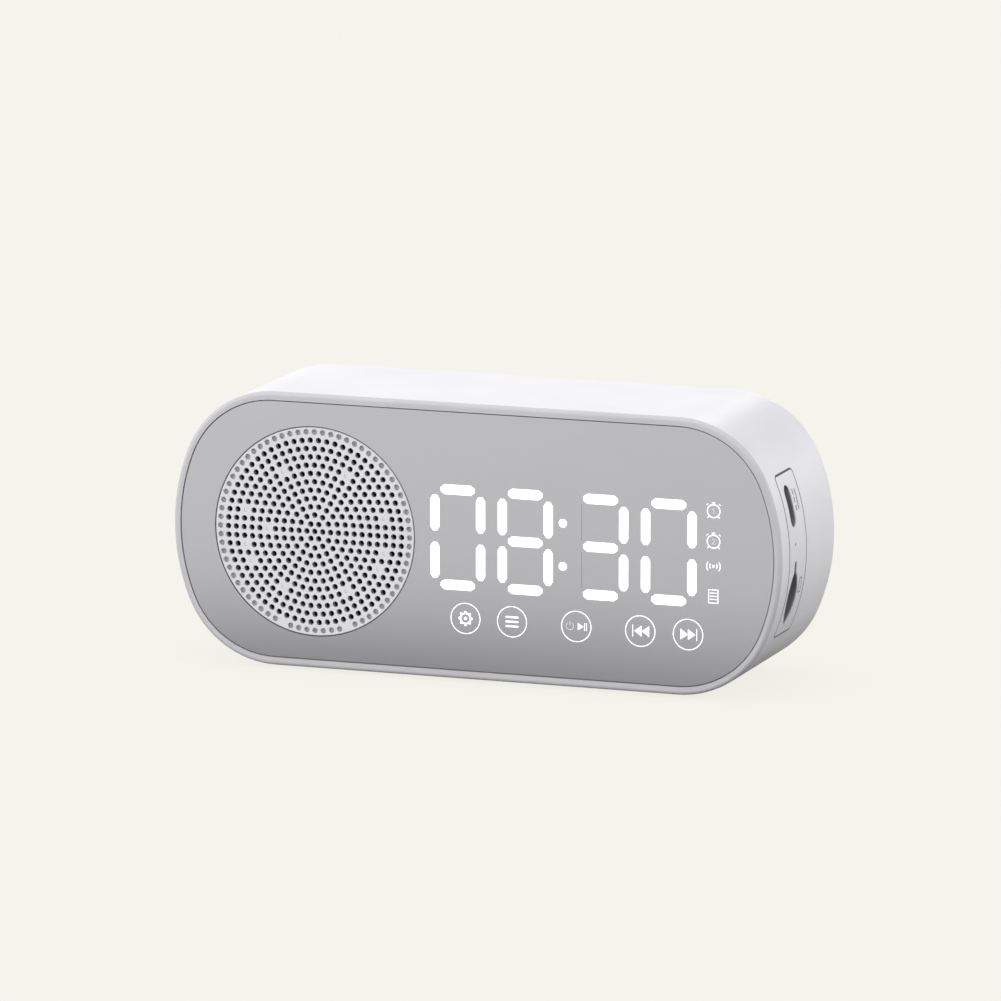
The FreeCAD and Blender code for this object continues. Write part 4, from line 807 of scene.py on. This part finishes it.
def build_hole_shades():
    """Painted shade: faint crescents on one side of each closed perforation."""
    drawing = Drawing(on_face, MARK_OUT)
    for ring in CLOSED_HOLES:
        for x, z, closed in ring_places(ring):
            if closed and ring < BLIND_RING:
                drawing.arc((GRILLE_X + x, z), MARK_RADIUS, MARK_WIDTH, MARK_START, MARK_END, 12)
    drawing.finish("closed_hole_shades", HOLE_SHADE)


# the cloth's mesh, and how far its ripple goes
CLOTH_RINGS, CLOTH_SECTORS = 10, 60
CLOTH_RIPPLE = 0.02 * MM


def build_dust_cloth():
    """Black cloth stretched behind the grille, slightly uneven as it is pulled over its ring."""
    low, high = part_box("dust_cloth")
    middle = Vector(((low[0] + high[0]) / 2, (low[1] + high[1]) / 2, (low[2] + high[2]) / 2))
    radius = (high[0] - low[0]) / 2
    cloth = bmesh.new()
    lines = []
    for ring in range(1, CLOTH_RINGS + 1):
        line = []
        share = ring / CLOTH_RINGS
        for i in range(CLOTH_SECTORS):
            angle = math.tau * i / CLOTH_SECTORS
            wave = CLOTH_RIPPLE * math.sin(6 * angle + 4 * share) * math.sin(math.pi * share)
            offset = Vector((radius * share * math.cos(angle), wave, radius * share * math.sin(angle)))
            line.append(cloth.verts.new(middle + offset))
        lines.append(line)
    centre = cloth.verts.new(middle)
    for i in range(CLOTH_SECTORS):
        cloth.faces.new((centre, lines[0][i - 1], lines[0][i]))
        for inner, outer in zip(lines, lines[1:]):
            cloth.faces.new((inner[i - 1], outer[i - 1], outer[i], inner[i]))
    mesh = bpy.data.meshes.new("stretched_dust_cloth")
    cloth.to_mesh(mesh)
    cloth.free()
    mesh.materials.append(CLOTH)
    piece = bpy.data.objects.new("stretched_dust_cloth", mesh)
    bpy.context.scene.collection.objects.link(piece)
    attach(piece, HOUSING)
    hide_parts("dust_cloth")


build_grille()
build_hole_shades()
build_dust_cloth()
build_gap_shades()


# Floor, lights and camera

CAMERA_TURN = -19.8086
CAMERA_TILT = 10.8645
CAMERA_ROLL = 0.0135
CAMERA_LENS = 323.53
CAMERA_DISTANCE = 2.01979
CAMERA_SIDE, CAMERA_LIFT = 0.005931, 0.009470


def build_camera():
    turn, tilt, roll = (math.radians(angle) for angle in (CAMERA_TURN, CAMERA_TILT, CAMERA_ROLL))
    right = Vector((math.cos(turn), -math.sin(turn), 0))
    ahead = Vector((math.sin(turn) * math.cos(tilt), math.cos(turn) * math.cos(tilt), -math.sin(tilt)))
    up = right.cross(ahead)
    axes = Matrix((right, up, -ahead)).transposed()
    axes = axes @ Matrix.Rotation(-roll, 3, "Z")
    target = Vector((0, FACE_Y, FACE_Z))
    spot = target + axes @ Vector((CAMERA_SIDE, CAMERA_LIFT, CAMERA_DISTANCE))
    data = bpy.data.cameras.new("camera")
    data.lens = CAMERA_LENS
    data.sensor_width = 36.0
    data.clip_end = 50.0
    camera = bpy.data.objects.new("camera", data)
    camera.matrix_world = Matrix.Translation(spot) @ axes.to_4x4()
    bpy.context.scene.collection.objects.link(camera)
    bpy.context.scene.camera = camera


FLOOR_GLOW_SHARE = 0.9
FLOOR_GLOW = colour(246, 245, 238)
# the floor's tone to bounced light, dimmed to shade the object's lower parts; then the painted contact shadow
# round the foot, seen in reflections: its tone, and where it starts and ends, in metres
FLOOR_BOUNCE = 0.08
FOOT_SHADOW_TONE, FOOT_NEAR, FOOT_FAR = 0.6, 0.015, 0.11
FLOOR_REACH = 6.0


def foot_distance(nodes, links):
    """Distance on the floor from the rectangle under the case."""
    low, high = cad_box
    spot = nodes.new("ShaderNodeTexCoord").outputs["Object"]
    spot = vector_math(nodes, links, "ABSOLUTE", spot, None).outputs["Vector"]
    half = ((high[0] - low[0]) / 2, (high[1] - low[1]) / 2, 0)
    spot = vector_math(nodes, links, "SUBTRACT", spot, half).outputs["Vector"]
    spot = vector_math(nodes, links, "MAXIMUM", spot, (0, 0, 0)).outputs["Vector"]
    return vector_math(nodes, links, "LENGTH", spot, None).outputs["Value"]


def choose(nodes, links, share, base, other):
    """Value that goes from the socket base to the number other as share goes from 0 to 1."""
    choice = nodes.new("ShaderNodeMix")
    choice.inputs["B"].default_value = other
    links.new(share, choice.inputs["Factor"])
    links.new(base, choice.inputs["A"])
    return choice.outputs["Result"]


def build_floor():
    """Pale floor: mostly its own even tone, partly lit, so that it keeps a soft shadow.

    What it throws back on the object is dimmed: to bounced light it is dark all over, which shades the
    object's lower parts, and in reflections it is painted darker round the object's foot, as a contact
    shadow.
    """
    mesh = bpy.data.meshes.new("floor")
    corners = [(x * FLOOR_REACH, y * FLOOR_REACH, 0) for x, y in ((-1, -1), (1, -1), (1, 1), (-1, 1))]
    mesh.from_pydata(corners, [], [(0, 1, 2, 3)])
    floor = bpy.data.objects.new("floor", mesh)
    bpy.context.scene.collection.objects.link(floor)
    material, nodes, links, shader = new_material("pale_floor")
    path = nodes.new("ShaderNodeLightPath")
    # painted contact shadow: the floor darker near the case, as reflections see it
    near = nodes.new("ShaderNodeMapRange")
    near.inputs["From Min"].default_value = FOOT_NEAR
    near.inputs["From Max"].default_value = FOOT_FAR
    near.inputs["To Min"].default_value = FOOT_SHADOW_TONE
    links.new(foot_distance(nodes, links), near.inputs["Value"])
    level = choose(nodes, links, path.outputs["Is Camera Ray"], near.outputs["Result"], 1.0)
    level = choose(nodes, links, path.outputs["Is Diffuse Ray"], level, FLOOR_BOUNCE)
    tone = nodes.new("ShaderNodeVectorMath")
    tone.operation = "SCALE"
    tone.inputs[0].default_value = BACKGROUND[:3]
    links.new(level, tone.inputs["Scale"])
    links.new(tone.outputs["Vector"], shader.inputs["Base Color"])
    shader.inputs["Roughness"].default_value = 0.9
    shader.inputs["Specular IOR Level"].default_value = 0.0
    glow = nodes.new("ShaderNodeEmission")
    glow.inputs["Color"].default_value = FLOOR_GLOW
    share = nodes.new("ShaderNodeMath")
    share.operation = "MULTIPLY"
    share.inputs[1].default_value = FLOOR_GLOW_SHARE
    links.new(path.outputs["Is Camera Ray"], share.inputs[0])
    mix = nodes.new("ShaderNodeMixShader")
    links.new(share.outputs[0], mix.inputs["Fac"])
    links.new(shader.outputs["BSDF"], mix.inputs[1])
    links.new(glow.outputs["Emission"], mix.inputs[2])
    links.new(mix.outputs["Shader"], nodes["Material Output"].inputs["Surface"])
    mesh.materials.append(material)


# dark card behind the object that shades the gloss on its upper corners; only reflections see it
FLAG_LOW, FLAG_HIGH = (-0.04, 0.18), (0.45, 0.75)
FLAG_DISTANCE = 1.2


def build_flag():
    (left, low), (right, high) = FLAG_LOW, FLAG_HIGH
    mesh = bpy.data.meshes.new("dark_flag")
    places = [(left, low), (right, low), (right, high), (left, high)]
    mesh.from_pydata([(x, FLAG_DISTANCE, z) for x, z in places], [], [(0, 1, 2, 3)])
    mesh.materials.append(surface("flag_cloth", colour(30, 30, 32), 0.95))
    flag = bpy.data.objects.new("dark_flag", mesh)
    bpy.context.scene.collection.objects.link(flag)
    flag.visible_camera = False
    flag.visible_diffuse = False
    flag.visible_shadow = False


HORIZON_STRENGTH, ZENITH_STRENGTH = 1.45, 0.79
HORIZON_TOP, ZENITH_LOW = 0.1, 0.5


def build_world():
    """White light, stronger at the horizon than overhead; the camera sees the background's colour."""
    world = bpy.data.worlds.new("studio")
    world.use_nodes = True
    bpy.context.scene.world = world
    nodes, links = world.node_tree.nodes, world.node_tree.links
    background = nodes["Background"]
    background.inputs["Color"].default_value = (1.0, 1.0, 1.0, 1.0)
    height = nodes.new("ShaderNodeSeparateXYZ")
    links.new(nodes.new("ShaderNodeTexCoord").outputs["Generated"], height.inputs[0])
    level = nodes.new("ShaderNodeMapRange")
    level.inputs["From Min"].default_value = HORIZON_TOP
    level.inputs["From Max"].default_value = ZENITH_LOW
    level.inputs["To Min"].default_value = HORIZON_STRENGTH
    level.inputs["To Max"].default_value = ZENITH_STRENGTH
    links.new(height.outputs["Z"], level.inputs["Value"])
    links.new(level.outputs["Result"], background.inputs["Strength"])
    shown = nodes.new("ShaderNodeBackground")
    shown.inputs["Color"].default_value = BACKGROUND
    mix = nodes.new("ShaderNodeMixShader")
    path = nodes.new("ShaderNodeLightPath")
    links.new(path.outputs["Is Camera Ray"], mix.inputs["Fac"])
    links.new(background.outputs["Background"], mix.inputs[1])
    links.new(shown.outputs["Background"], mix.inputs[2])
    links.new(mix.outputs["Shader"], nodes["World Output"].inputs["Surface"])


def add_softbox(name, spot, width, height, power):
    """Rectangular lamp that looks at the object."""
    data = bpy.data.lights.new(name, "AREA")
    data.shape = "RECTANGLE"
    data.size = width
    data.size_y = height
    data.energy = power
    lamp = bpy.data.objects.new(name, data)
    lamp.location = spot
    aim = Vector((0, 0, FACE_Z)) - Vector(spot)
    lamp.rotation_euler = aim.to_track_quat("-Z", "Y").to_euler()
    bpy.context.scene.collection.objects.link(lamp)


# each lamp's place, size across and up, and power
LAMPS = {
    "front_softbox": ((-1.05, -1.0, 0.25), 0.8, 0.5, 5.4),
    "right_softbox": ((1.2, -0.2, 0.3), 0.6, 0.6, 1.0),
    "corner_light": ((-0.17, 1.2, 0.5), 0.12, 0.05, 0.09),
}


def build_lights():
    for name, (spot, width, height, power) in LAMPS.items():
        add_softbox(name, spot, width, height, power)


build_camera()
build_floor()
build_flag()
build_world()
build_lights()
bpy.context.scene.view_settings.view_transform = "Standard"
